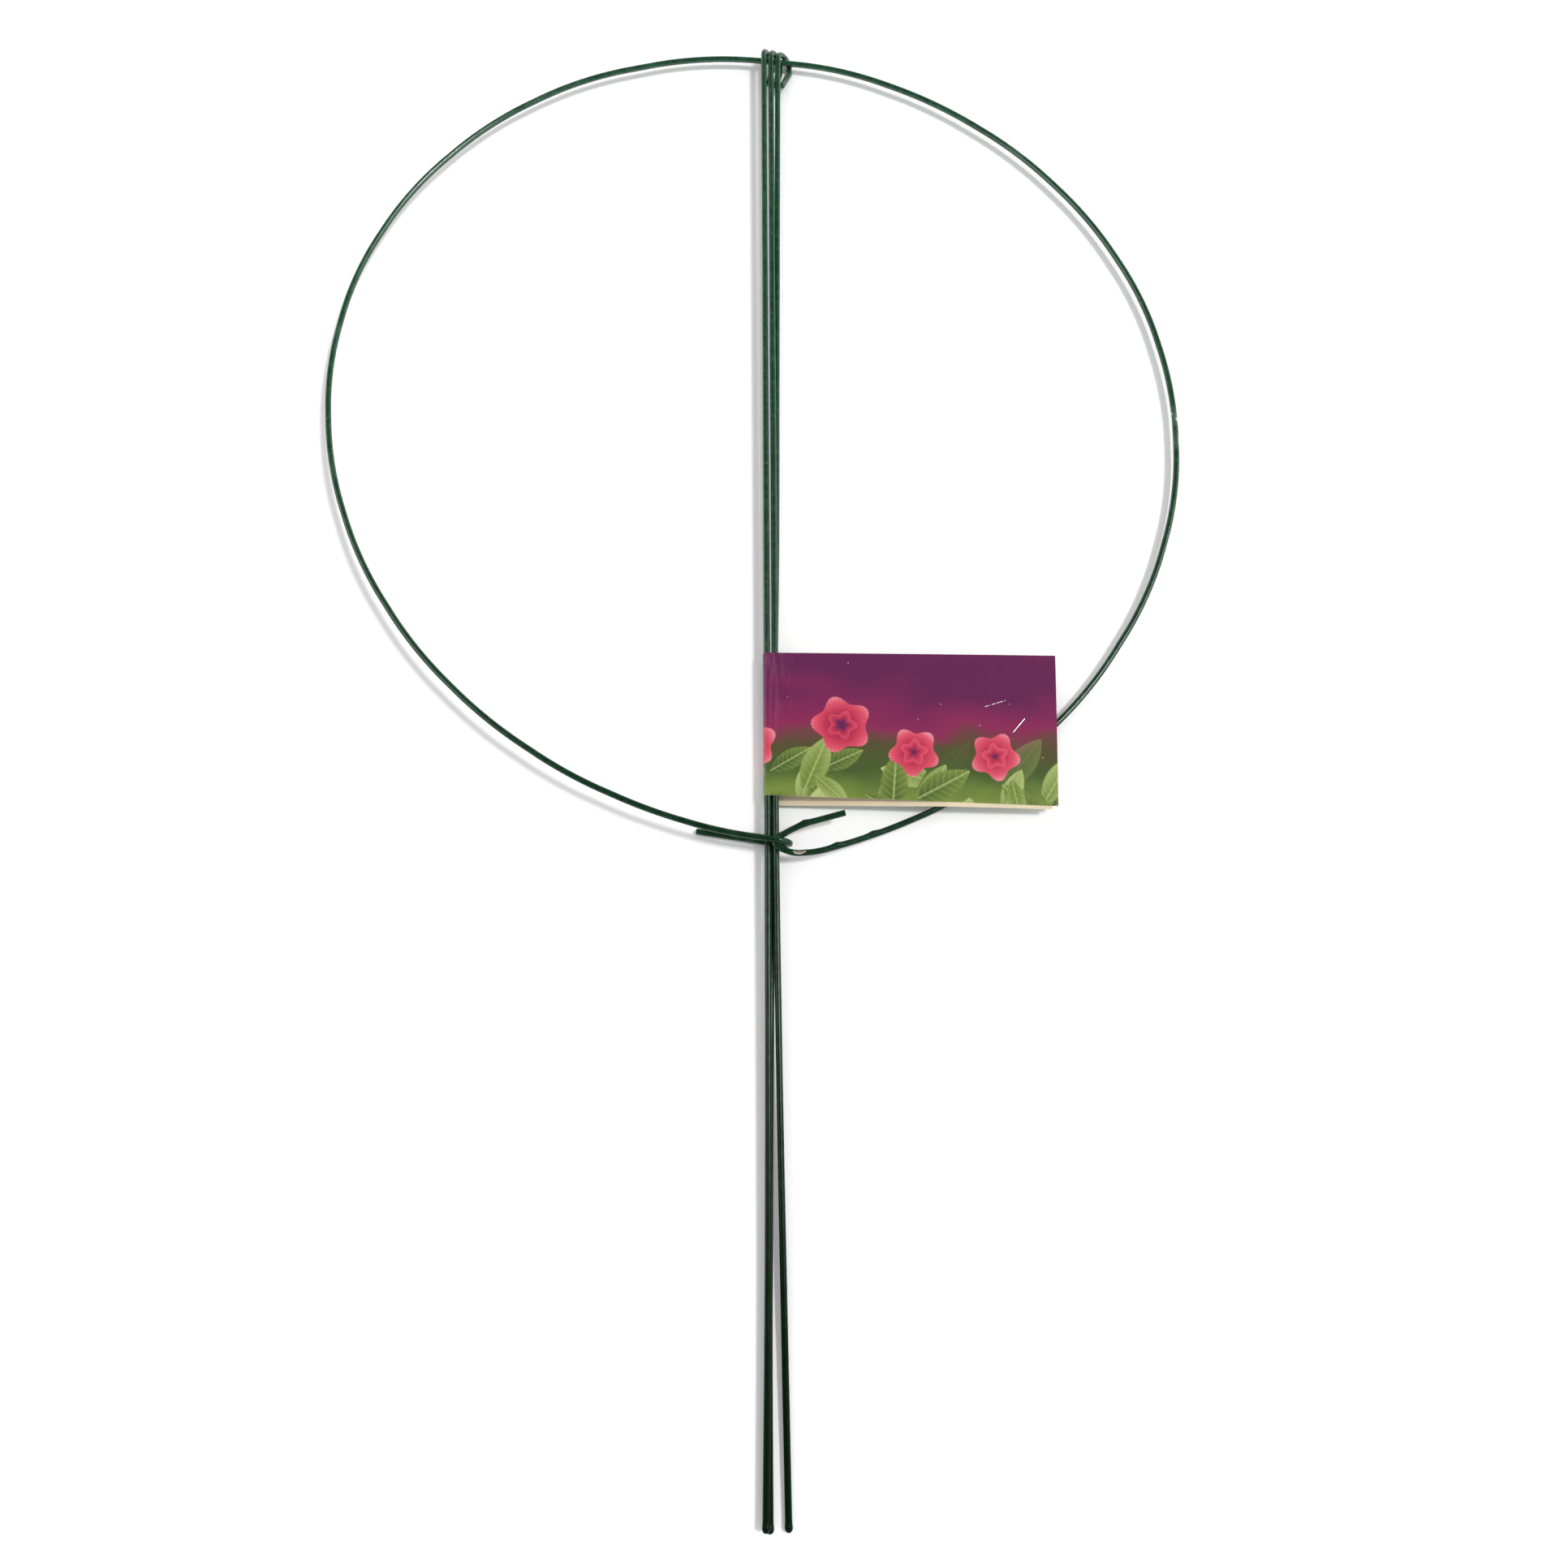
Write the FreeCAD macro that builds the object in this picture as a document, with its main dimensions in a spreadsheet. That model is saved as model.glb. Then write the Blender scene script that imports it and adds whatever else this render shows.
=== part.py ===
"""A plant support of coated wire, packed flat: an open ring whose two ends hook together, three long
legs whose eyes hang on the ring, and a folded header card stapled round the legs.

Millimetres. The support lies on the plane z = 0. The origin is the middle of the ring on that plane,
+Y points to the eyes of the legs, +Z away from the plane.
"""
import FreeCAD
import Part
import math
import os

from FreeCAD import Vector

doc = FreeCAD.newDocument("plant_support")

# Driving dimensions: name, value and what it measures.
DIMENSIONS = [
    ("core_diameter", 2.6, "steel wire inside the coating"),
    ("coating_thickness", 0.3, "coating on the steel wire"),
    ("wire_gap", 0.3, "play left between two coated wires that lie on each other"),
    ("end_cover", 0.6, "coating over a cut end of the steel wire"),
    ("ring_radius", 228.5, "middle of the ring to the axis of its wire, before its shares"),
    ("link_reach", 242.4, "middle of the ring to where its two ends hook together"),
    ("link_side", 13.4, "sideways place of the hooked ends"),
    ("return_length", 47.0, "free arm of the left hook, from its nose to its end"),
    ("short_length", 35.0, "free arm of the right hook, from its nose to its end"),
    ("mouth_width", 13.2, "space across the right hook, from axis to axis"),
    ("nose_radius", 2.4, "bend at the nose of the right hook"),
    ("leg_length", 771.4, "leg from the ring's wire to its tip"),
    ("eye_width", 10.4, "eye of a leg, from the shank's axis to the axis of its back"),
    ("eye_slack", 0.4, "play between the ring and the arch of an eye"),
    ("eye_back_run", 3.4, "straight back of an eye, below the arch"),
    ("eye_tail_run", 13.2, "tail of an eye, measured along the leg"),
    ("eye_foot", 8.0, "tail of an eye to where its part of the coating is told apart from the shank's"),
    ("tail_bend_radius", 4.0, "bend between the back of an eye and its tail"),
    ("bundle_side_at_ring", 5.7, "sideways place of the left leg at the ring"),
    ("bead_diameter", 3.65, "drop of coating at the tip of a leg"),
    ("bead_length", 4.0, "length of that drop"),
    ("bead_set", 0.8, "middle of that drop to the end of the wire"),
    ("run_diameter", 3.6, "thick place where the coating ran on the ring"),
    ("run_length", 7.0, "length of such a thick place"),
    ("run_offset", 0.22, "how far a thick place sits off the wire's axis"),
    ("scrape_length", 5.6, "place where the coating is scraped off the right hook"),
    ("scrape_width", 2.4, "width of the scraped place"),
    ("scrape_depth", 0.8, "depth of the scraped place"),
    ("card_thickness", 0.3, "board of the header card"),
    ("card_gap", 0.15, "play between the card and the legs inside it"),
    ("card_height", 74.1, "front of the card along its fold"),
    ("card_flare", 5.5, "how much lower its lower edge is at the free end"),
    ("card_fall", 1.0, "how much lower its upper edge is at the free end"),
    ("card_lean", 1.5, "how much nearer to the plane its free end is"),
    ("card_width", 148.3, "front of the card from fold to free end, along its upper edge"),
    ("card_taper", 2.6, "how much shorter its lower edge is"),
    ("card_rise", 98.5, "upper edge of the card above the hooked ends of the ring"),
    ("card_back_drop", 3.5, "how far the back stands below the front at the fold"),
    ("card_back_drop_free", 1.5, "the same at the free end"),
    ("card_back_short", 3.0, "how much shorter the back is, from fold to free end"),
    ("card_pocket", 92.0, "width over which front and back stand apart for the legs"),
    ("fold_radius", 1.8, "round of the fold beside the legs"),
    ("panel_gap", 0.03, "space between front and back where they are stapled"),
    ("staple_diameter", 0.6, "wire of the staple"),
    ("staple_crown", 9.6, "staple from leg to leg"),
    ("staple_inset", 20.3, "free end of the card to the middle of the staple"),
    ("staple_drop", 38.3, "upper edge of the card to the middle of the staple"),
    ("staple_foot", 3.6, "end of the staple turned in behind the card"),
    ("staple_bend_radius", 0.6, "bends of the staple"),
    ("staple_fit", 0.03, "play round the staple"),
    ("staple_stand", 0.05, "space between the card and the staple's wire"),
]

sheet = doc.addObject("Spreadsheet::Sheet", "Sizes")
for row, (alias, value, meaning) in enumerate(DIMENSIONS, start=1):
    sheet.set("A%d" % row, alias)
    sheet.set("B%d" % row, str(value))
    sheet.set("C%d" % row, meaning)
    sheet.setAlias("B%d" % row, alias)
doc.recompute()


def size(alias):
    """Length in the sheet under this name."""
    return float(sheet.get(alias))


wire_radius = size("core_diameter") / 2 + size("coating_thickness")
pitch = 2 * wire_radius + size("wire_gap")
COATED_RADIUS = "Sizes.core_diameter / 2 + Sizes.coating_thickness"
CORE_RADIUS = "Sizes.core_diameter / 2"


# Paths of straight runs and tangent arcs.

def bend(before, corner, after, radius):
    """Ends and middle of the arc of this radius that rounds a corner."""
    inward = (before - corner).normalize()
    outward = (after - corner).normalize()
    half_turn = (math.pi - inward.getAngle(outward)) / 2
    reach = radius * math.tan(half_turn)
    middle = (inward + outward).normalize() * (radius / math.cos(half_turn) - radius)
    return corner + inward * reach, corner + middle, corner + outward * reach


def widest(before, corner, after, share):
    """Radius of the arc that takes this share of the shorter of two runs."""
    turn = math.pi - (before - corner).getAngle(after - corner)
    return share * min((before - corner).Length, (after - corner).Length) / math.tan(turn / 2)


def bent_path(points, radii, closed=False):
    """Wire through the points with a tangent arc at each corner that has a radius."""
    count = len(points)
    joins = []
    for index, corner in enumerate(points):
        if radii[index] and (closed or 0 < index < count - 1):
            joins.append(bend(points[index - 1], corner, points[(index + 1) % count], radii[index]))
        else:
            joins.append((corner, None, corner))
    edges = []
    for index, (start, middle, end) in enumerate(joins):
        if middle is not None:
            edges.append(Part.Arc(start, middle, end).toShape())
        if index + 1 < count or closed:
            following = joins[(index + 1) % count][0]
            edges.append(Part.LineSegment(end, following).toShape())
    return Part.Wire(edges)


def trimmed(points, length):
    """The same points with both end runs shortened."""
    first = points[0] + (points[1] - points[0]).normalize() * length
    last = points[-1] + (points[-2] - points[-1]).normalize() * length
    return [first] + points[1:-1] + [last]


def hidden_feature(name, shape):
    """Construction shape that other features are built on."""
    feature = doc.addObject("Part::Feature", name)
    feature.Shape = shape
    return feature


def rod(name, path, radius_expression):
    """Round rod swept along a path."""
    spine = hidden_feature(name + "_path", path)
    start = path.OrderedEdges[0]
    section = doc.addObject("Part::Circle", name + "_section")
    section.setExpression("Radius", radius_expression)
    direction = start.tangentAt(start.FirstParameter)
    place = start.valueAt(start.FirstParameter)
    section.Placement = FreeCAD.Placement(place, FreeCAD.Rotation(Vector(0, 0, 1), direction))
    sweep = doc.addObject("Part::Sweep", name)
    sweep.Sections = [section]
    sweep.Spine = (spine, ["Edge%d" % (number + 1) for number in range(len(path.Edges))])
    sweep.Solid = True
    sweep.Frenet = False
    return sweep


def drop(name, middle, direction, length_expression, width_expression):
    """Drop of coating drawn out along the wire."""
    body = doc.addObject("Part::Ellipsoid", name)
    body.setExpression("Radius1", length_expression)
    body.setExpression("Radius2", width_expression)
    body.setExpression("Radius3", width_expression)
    body.Placement = FreeCAD.Placement(middle, FreeCAD.Rotation(Vector(0, 0, 1), direction))
    return body


def difference(name, base, tool):
    """Base without the tool."""
    cut = doc.addObject("Part::Cut", name)
    cut.Base = base
    cut.Tool = tool
    return cut


def union(name, shapes):
    """Shapes joined to one."""
    fuse = doc.addObject("Part::MultiFuse", name)
    fuse.Shapes = shapes
    return fuse


def coated_wire(name, points, radii, extras=(), scrape=None):
    """Steel core and the coating round it, with drops of coating added."""
    core = rod(name + "_steel", bent_path(trimmed(points, size("end_cover")), radii), CORE_RADIUS)
    skin = rod(name + "_skin", bent_path(points, radii), COATED_RADIUS)
    if extras:
        skin = union(name + "_thick", [skin] + list(extras))
    if scrape:
        skin = difference(name + "_scraped", skin, scrape)
    coating = difference(name + "_coating", skin, core)
    return core, coating


def height(lift_share):
    """Height of a wire's axis, where a share of 0 lies on the plane and 1 lies on that wire."""
    return wire_radius + lift_share * pitch


# Ring. Each row: direction from the middle in degrees, reach as a share of the radius, lift share.
RING_SHARES = [
    (258, 1.0118, 3.80), (247, 0.9877, 3.62), (234, 0.9694, 3.40), (220, 0.9621, 3.17), (205, 0.9668, 2.92),
    (190, 0.9796, 2.67), (175, 0.997, 2.42), (160, 1.0143, 2.17), (145, 1.023, 1.92), (130, 1.0235, 1.67),
    (115, 1.0137, 1.42), (97, 0.9991, 1.0), (77, 0.9758, 1.0), (62, 0.9688, 1.0), (47, 0.9655, 1.0),
    (32, 0.9696, 1.0), (17, 0.9812, 1.0), (2, 0.9918, 1.0), (-13, 1.0058, 1.0), (-28, 1.0171, 1.0),
    (-43, 1.0284, 1.0), (-56, 1.046, 1.1), (-67, 1.059, 1.4),
]
RING_ARC_SHARE = 0.45
BUNDLE_SHARE = 1.95
NOSE_SHARE = BUNDLE_SHARE + 1.0
FRONT_SHARE = NOSE_SHARE + 1.0


def ring_corner(row):
    """Corner of the ring's path, set outwards so that its runs touch the ring."""
    angle, reach_share, lift_share = RING_SHARES[row]
    steps = [abs(angle - RING_SHARES[other][0]) for other in (row - 1, row + 1) if 0 <= other < len(RING_SHARES)]
    reach = size("ring_radius") * reach_share / math.cos(math.radians(max(steps) / 2))
    turn = math.radians(angle)
    return Vector(reach * math.cos(turn), reach * math.sin(turn), height(lift_share))


ring_corners = [ring_corner(row) for row in range(len(RING_SHARES))]
link = Vector(size("link_side"), -size("link_reach"), 0)

# Left hook: a hairpin on edge, whose front arm goes over the legs and whose return arm lies under them.
RETURN_SLOPE_SHARE = 0.157
FRONT_SLOPE_SHARE = 0.143
FRONT_ARM_SHARE = 0.72
LOW_LEAN_SHARE = 0.072
HIGH_LEAN_SHARE = -0.044
hairpin_radius = (height(FRONT_SHARE) - height(0)) / 2
HAIRPIN_ARC_SHARE = 0.98
nose_low = Vector(link.x + hairpin_radius, link.y + LOW_LEAN_SHARE * hairpin_radius, height(0))
nose_high = Vector(nose_low.x, link.y + HIGH_LEAN_SHARE * hairpin_radius, height(FRONT_SHARE))
return_end = nose_low + Vector(-1, RETURN_SLOPE_SHARE, 0).normalize() * size("return_length")
front_run = Vector(-1, FRONT_SLOPE_SHARE, 0).normalize() * (FRONT_ARM_SHARE * size("return_length"))
left_hook = [return_end, nose_low, nose_high, nose_high + front_run]

# Right hook: an open loop that lies flat, its nose held in the left hook. Each row: along and across
# the hook as shares of its width, lift share.
RIGHT_HOOK_SHARES = [
    (4.29, 0.59, 1.70), (3.0, 0.11, 2.05), (1.56, -0.34, 2.60), (0.614, -0.417, 2.80),
    (-0.015, -0.114, NOSE_SHARE), (-0.015, 0.136, NOSE_SHARE), (0.902, 0.654, NOSE_SHARE),
]
SHORT_SLOPE_SHARE = 0.276


def hook_point(along_share, across_share, lift_share):
    """Place on the right hook."""
    width = size("mouth_width")
    return Vector(link.x + along_share * width, link.y + across_share * width, height(lift_share))


right_hook = [hook_point(*row) for row in RIGHT_HOOK_SHARES]
short_run = size("short_length") - RIGHT_HOOK_SHARES[-1][0] * size("mouth_width")
right_hook.append(right_hook[-1] + Vector(1, SHORT_SLOPE_SHARE, 0).normalize() * short_run)

ring_points = left_hook + ring_corners + right_hook
first_row = len(left_hook)
ring_radii = [0.0]
for index in range(1, len(ring_points) - 1):
    ring_radii.append(widest(ring_points[index - 1], ring_points[index], ring_points[index + 1], RING_ARC_SHARE))
ring_radii.append(0.0)
ring_radii[1] = hairpin_radius * HAIRPIN_ARC_SHARE
ring_radii[2] = hairpin_radius * HAIRPIN_ARC_SHARE
hook_row = first_row + len(ring_corners)
ring_radii[hook_row + 4] = size("nose_radius")
ring_radii[hook_row + 5] = size("nose_radius")

# Thick places of the coating on the right hook, and the place where it is scraped to the steel.
RUN_SHARES = [(0, 0.5), (1, 0.5), (6, 0.1)]
SCRAPE_SHARE = 0.72
SCRAPE_LEAN = Vector(0, 0.33, 0.945)
runs = []
for number, (hook_corner, along_share) in enumerate(RUN_SHARES, start=1):
    row = hook_row + hook_corner
    course = ring_points[row + 1] - ring_points[row]
    upward = Vector(-course.y, course.x, 0).normalize()
    if upward.y < 0:
        upward = upward * -1
    middle = ring_points[row] + course * along_share + upward * size("run_offset")
    runs.append(drop("ring_run_%d" % number, middle, course, "Sizes.run_length / 2", "Sizes.run_diameter / 2"))

scrape_course = ring_points[hook_row + 3] - ring_points[hook_row + 2]
scrape_middle = ring_points[hook_row + 2] + scrape_course * SCRAPE_SHARE + SCRAPE_LEAN * wire_radius
scrape = doc.addObject("Part::Ellipsoid", "ring_scrape")
scrape.setExpression("Radius1", "Sizes.scrape_depth")
scrape.setExpression("Radius2", "Sizes.scrape_length / 2")
scrape.setExpression("Radius3", "Sizes.scrape_width / 2")
scrape.Placement = FreeCAD.Placement(scrape_middle, FreeCAD.Rotation(Vector(0, 0, 1), SCRAPE_LEAN))

parts = {}
parts["ring_steel"], parts["ring_coating"] = coated_wire("ring", ring_points, ring_radii, runs, scrape)

# Legs. The eyes hang on the straight top of the ring. Each row of a route: station, where 0 is the ring,
# 1 the hooks and 2 the tip, side share from the bundle's line, lift share.
EYE_ROUND_SHARE = 0.48
LEG_ARC_SHARE = 0.45
BUNDLE_SIDE_SHARE = 1.07
EYE_ROOM_SHARE = 4
tip_share = (size("bead_diameter") / 2 - wire_radius) / pitch
LEGS = {
    "leg_left": {
        "eye_turn": 25, "close_share": 0.42, "side_share": 0.0,
        "route_shares": [(1.0, 0.0, BUNDLE_SHARE), (1.38, 0.17, 1.60), (1.68, 0.22, 1.25), (2.0, 0.03, 1.03)],
    },
    "leg_middle": {
        "eye_turn": 30, "close_share": 0.55, "side_share": 1.19,
        "route_shares": [
            (0.38, 1.16, 2.41), (0.66, 1.14, 2.20), (1.0, 1.10, BUNDLE_SHARE), (1.38, 1.64, 1.35),
            (1.73, 2.30, 0.60), (2.0, 2.84, tip_share),
        ],
    },
    "leg_right": {
        "eye_turn": 40, "close_share": 0.36, "side_share": 2.34,
        "route_shares": [
            (0.38, 1.83, 1.62), (0.47, 1.72, 1.48), (0.66, 1.50, 1.12), (1.0, 0.64, 1.02), (1.38, 0.41, 0.52),
            (1.78, 0.33, 0.16), (2.0, 0.51, tip_share),
        ],
    },
}
hang_side = size("bundle_side_at_ring")
top_left = max((corner for corner in ring_corners if corner.x < hang_side), key=lambda corner: corner.y)
top_right = max((corner for corner in ring_corners if corner.x > hang_side), key=lambda corner: corner.y)


def ring_line(side):
    """Distance from the middle of the ring to the straight top of its wire, at this side."""
    share = (side - top_left.x) / (top_right.x - top_left.x)
    return top_left.y + (top_right.y - top_left.y) * share


def bundle_side(station):
    """Sideways place of the bundle's line."""
    at_link = link.x - BUNDLE_SIDE_SHARE * pitch
    return size("bundle_side_at_ring") + (at_link - size("bundle_side_at_ring")) * min(station, 1.0)


def leg_points(leg):
    """Corners of a leg's path, from the end of its tail over the ring and down the shank to the tip."""
    turn = math.radians(leg["eye_turn"])
    across = Vector(math.sin(turn), 0, -math.cos(turn))
    width = size("eye_width")
    shank = Vector(bundle_side(0) + leg["side_share"] * pitch, 0, height(0) + width * math.cos(turn))
    ring_at_eye = ring_line(shank.x + across.x * width / 2)
    arch = ring_at_eye + pitch + size("eye_slack")
    back = arch - width / 2 - size("eye_back_run")
    tail = back - size("eye_tail_run")
    tip = ring_at_eye - size("leg_length") + size("bead_length") / 2 - size("bead_set")
    points = [
        shank + across * (width * leg["close_share"]) + Vector(0, tail, 0),
        shank + across * width + Vector(0, back, 0),
        shank + across * width + Vector(0, arch, 0),
        shank + Vector(0, arch, 0),
    ]
    for station, side_share, lift_share in leg["route_shares"]:
        if station <= 1:
            along = ring_at_eye + (link.y - ring_at_eye) * station
        else:
            along = link.y + (tip - link.y) * (station - 1)
        points.append(Vector(bundle_side(station) + side_share * pitch, along, height(lift_share)))
    return points


def leg_radii(points):
    """Bend at each corner of a leg."""
    round_eye = size("eye_width") * EYE_ROUND_SHARE
    radii = [0.0, size("tail_bend_radius"), round_eye, round_eye]
    for index in range(4, len(points) - 1):
        radii.append(widest(points[index - 1], points[index], points[index + 1], LEG_ARC_SHARE))
    return radii + [0.0]


def place_on(points, along):
    """Place on the shank at this distance from the middle of the ring."""
    for upper, lower in zip(points[3:], points[4:]):
        if lower.y <= along <= upper.y:
            return upper + (lower - upper) * ((upper.y - along) / (upper.y - lower.y))
    return None


leg_paths = {}
for name, leg in LEGS.items():
    points = leg_points(leg)
    leg_paths[name] = points
    course = (points[-1] - points[-2]).normalize()
    bead_middle = points[-1] - course * size("bead_set")
    bead = drop(name + "_bead", bead_middle, course, "Sizes.bead_length / 2", "Sizes.bead_diameter / 2")
    steel, coating = coated_wire(name, points, leg_radii(points), [bead])
    room = doc.addObject("Part::Box", name + "_eye_room")
    for side in ("Length", "Width", "Height"):
        room.setExpression(side, "Sizes.eye_width * %g" % EYE_ROOM_SHARE)
    half_room = size("eye_width") * EYE_ROOM_SHARE / 2
    room.Placement.Base = Vector(points[0].x - half_room, points[0].y - size("eye_foot"), -half_room)
    eye = doc.addObject("Part::Common", name + "_eye")
    eye.Base = coating
    eye.Tool = room
    parts[name + "_steel"] = steel
    parts[name + "_eye_coating"] = eye
    parts[name + "_coating"] = difference(name + "_shank", coating, room)

# Header card, folded round the left leg and drawn out along it.
OVERRUN_SHARE = 0.1
POCKET_BEND_SHARE = 0.3
thickness = size("card_thickness")
overrun = size("card_height") * OVERRUN_SHARE
card_top = size("card_rise") - size("link_reach")
card_start = card_top + overrun
card_length = size("card_height") + size("card_flare") + size("card_back_drop") + 2 * overrun
left_leg = leg_paths["leg_left"]
slide = (left_leg[4] - left_leg[3]).normalize()
leg_at_start = place_on(left_leg, card_start)
reach = wire_radius + size("card_gap") + thickness / 2
fold_side = leg_at_start.x - reach
front_level = leg_at_start.z + reach
free_side = fold_side + size("card_width") + overrun
pocket_side = fold_side + size("card_pocket")


def front_at(side):
    """Level of the front's middle at this side of the card's section."""
    return front_level - size("card_lean") * (side - fold_side) / size("card_width")


def back_at(side):
    """Level of the back's middle where it lies against the front."""
    return front_at(side) - thickness - size("panel_gap")


def below_left(corner):
    """Corner of the right leg, from the left leg beside it."""
    return corner - place_on(left_leg, corner.y)


low_leg = leg_at_start + min((below_left(corner) for corner in leg_paths["leg_right"][4:7]), key=lambda step: step.z)
under_share = (low_leg.x - fold_side) / size("card_pocket")
fold_level = (low_leg.z - reach - back_at(pocket_side) * under_share) / (1 - under_share)
split_level = (front_level + fold_level) / 2


def strip(points, radii):
    """Face of a bent strip of board, its middle line through the points."""
    half = thickness / 2
    left, right, left_radii, right_radii = [], [], [], []
    for index, point in enumerate(points):
        before = (point - points[index - 1]).normalize() if index else None
        after = (points[index + 1] - point).normalize() if index + 1 < len(points) else None
        before = before or after
        after = after or before
        normals = [Vector(course.z, 0, -course.x) for course in (before, after)]
        middle = (normals[0] + normals[1]).normalize()
        miter = middle * (half / middle.dot(normals[0]))
        left.append(point + miter)
        right.append(point - miter)
        inside = normals[0].dot(after) > 0
        left_radii.append(radii[index] and radii[index] + (-half if inside else half))
        right_radii.append(radii[index] and radii[index] + (half if inside else -half))
    outline = bent_path(left + right[::-1], left_radii + right_radii[::-1], closed=True)
    return Part.Face(outline)


def panel(name, points, radii, upper, lower_at_fold, lower_at_free, short):
    """One side of the card: a bent strip drawn out along the leg and trimmed to its outline."""
    profile = hidden_feature(name + "_profile", strip(points, radii))
    band = doc.addObject("Part::Extrusion", name + "_band")
    band.Base = profile
    band.DirMode = "Custom"
    band.Dir = slide
    band.LengthFwd = card_length
    band.Solid = True
    near = fold_side - overrun
    far = fold_side + size("card_width") - short
    corners = [
        (near, upper), (far, upper - size("card_fall")), (far - size("card_taper"), lower_at_free),
        (near, lower_at_fold),
    ]
    outline = Part.makePolygon([Vector(x, y, 0) for x, y in corners + corners[:1]])
    trim = doc.addObject("Part::Extrusion", name + "_trim")
    trim.Base = hidden_feature(name + "_outline", Part.Face(outline))
    trim.DirMode = "Custom"
    trim.Dir = Vector(0, 0, 1)
    trim.LengthFwd = front_level + overrun
    trim.Solid = True
    common = doc.addObject("Part::Common", name)
    common.Base = band
    common.Tool = trim
    return common


def at_start(side, level):
    """Point of the card's section."""
    return Vector(side, card_start, level)


front_points = [
    at_start(free_side, front_at(free_side)), at_start(fold_side, front_level), at_start(fold_side, split_level),
]
back_points = [
    at_start(fold_side, split_level), at_start(fold_side, fold_level),
    at_start(pocket_side, back_at(pocket_side)), at_start(free_side, back_at(free_side)),
]
back_radii = [0.0, size("fold_radius"), POCKET_BEND_SHARE * size("card_pocket"), 0.0]
front_lower = card_top - size("card_height")
front = panel(
    "card_front", front_points, [0.0, size("fold_radius"), 0.0], card_top, front_lower,
    front_lower - size("card_flare"), 0.0,
)
back = panel(
    "card_back", back_points, back_radii, card_top - size("card_back_drop"),
    front_lower - size("card_back_drop"), front_lower - size("card_flare") - size("card_back_drop_free"),
    size("card_back_short"),
)

# Staple, through both sides of the card and turned in behind them.
STAPLE_TURN = math.radians(50)
staple_side = fold_side + size("card_width") - size("staple_inset")
staple_middle = Vector(staple_side, card_top - size("staple_drop"), 0)
staple_course = Vector(math.cos(STAPLE_TURN), math.sin(STAPLE_TURN), 0)


def staple_point(along, level_at, stand):
    """Point of the staple, this far from the board where it stands."""
    place = staple_middle + staple_course * along
    lean = slide.z / slide.y * (place.y - card_start)
    return Vector(place.x, place.y, level_at(place.x) + lean + stand)


stand = thickness / 2 + size("staple_stand") + size("staple_diameter") / 2
half_crown = size("staple_crown") / 2
foot = half_crown - size("staple_foot")
staple_points = [
    staple_point(-foot, back_at, -stand), staple_point(-half_crown, back_at, -stand),
    staple_point(-half_crown, front_at, stand), staple_point(half_crown, front_at, stand),
    staple_point(half_crown, back_at, -stand), staple_point(foot, back_at, -stand),
]
staple_bends = [0.0] + [size("staple_bend_radius")] * 4 + [0.0]
staple_path = bent_path(staple_points, staple_bends)
parts["staple"] = rod("staple_wire", staple_path, "Sizes.staple_diameter / 2")
staple_room = rod("staple_room", staple_path, "Sizes.staple_diameter / 2 + Sizes.staple_fit")
parts["card"] = difference("card_board", union("card_folded", [front, back]), staple_room)

for name, feature in parts.items():
    feature.Label = name
doc.recompute()

for feature in doc.Objects:
    if "Invalid" in feature.State or "Error" in feature.State:
        raise RuntimeError("%s failed: %s" % (feature.Label, feature.State))

os.makedirs("parts", exist_ok=True)
for name, feature in parts.items():
    if feature.Shape.isNull() or not feature.Shape.isValid():
        raise RuntimeError("%s has no valid shape" % name)
    solids = feature.Shape.Solids
    if len(solids) != 1:
        raise RuntimeError("%s has %d solids" % (name, len(solids)))
for name, feature in parts.items():
    feature.Shape.exportStep("parts/%s.step" % name)
    box = feature.Shape.BoundBox
    print(
        "%-20s %8.0f mm3  x %7.1f %7.1f  y %7.1f %7.1f  z %6.2f %6.2f"
        % (name, feature.Shape.Volume, box.XMin, box.XMax, box.YMin, box.YMax, box.ZMin, box.ZMax)
    )
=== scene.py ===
"""Looks of a plant support of coated wire, packed flat.

An open ring whose two ends hook together, three long legs whose eyes hang on the ring, and a folded
header card stapled round the legs. Sizes are in millimetres in the frame of the packed model: +Y to
the eyes of the legs, +Z up from the ground. Meshes are written in metres.
"""

import logging
import math
from dataclasses import dataclass, field
from enum import Enum
from typing import Callable, Mapping, Optional, Sequence, Union

import bpy
import numpy as np
from mathutils import Euler, Matrix, Vector

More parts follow.
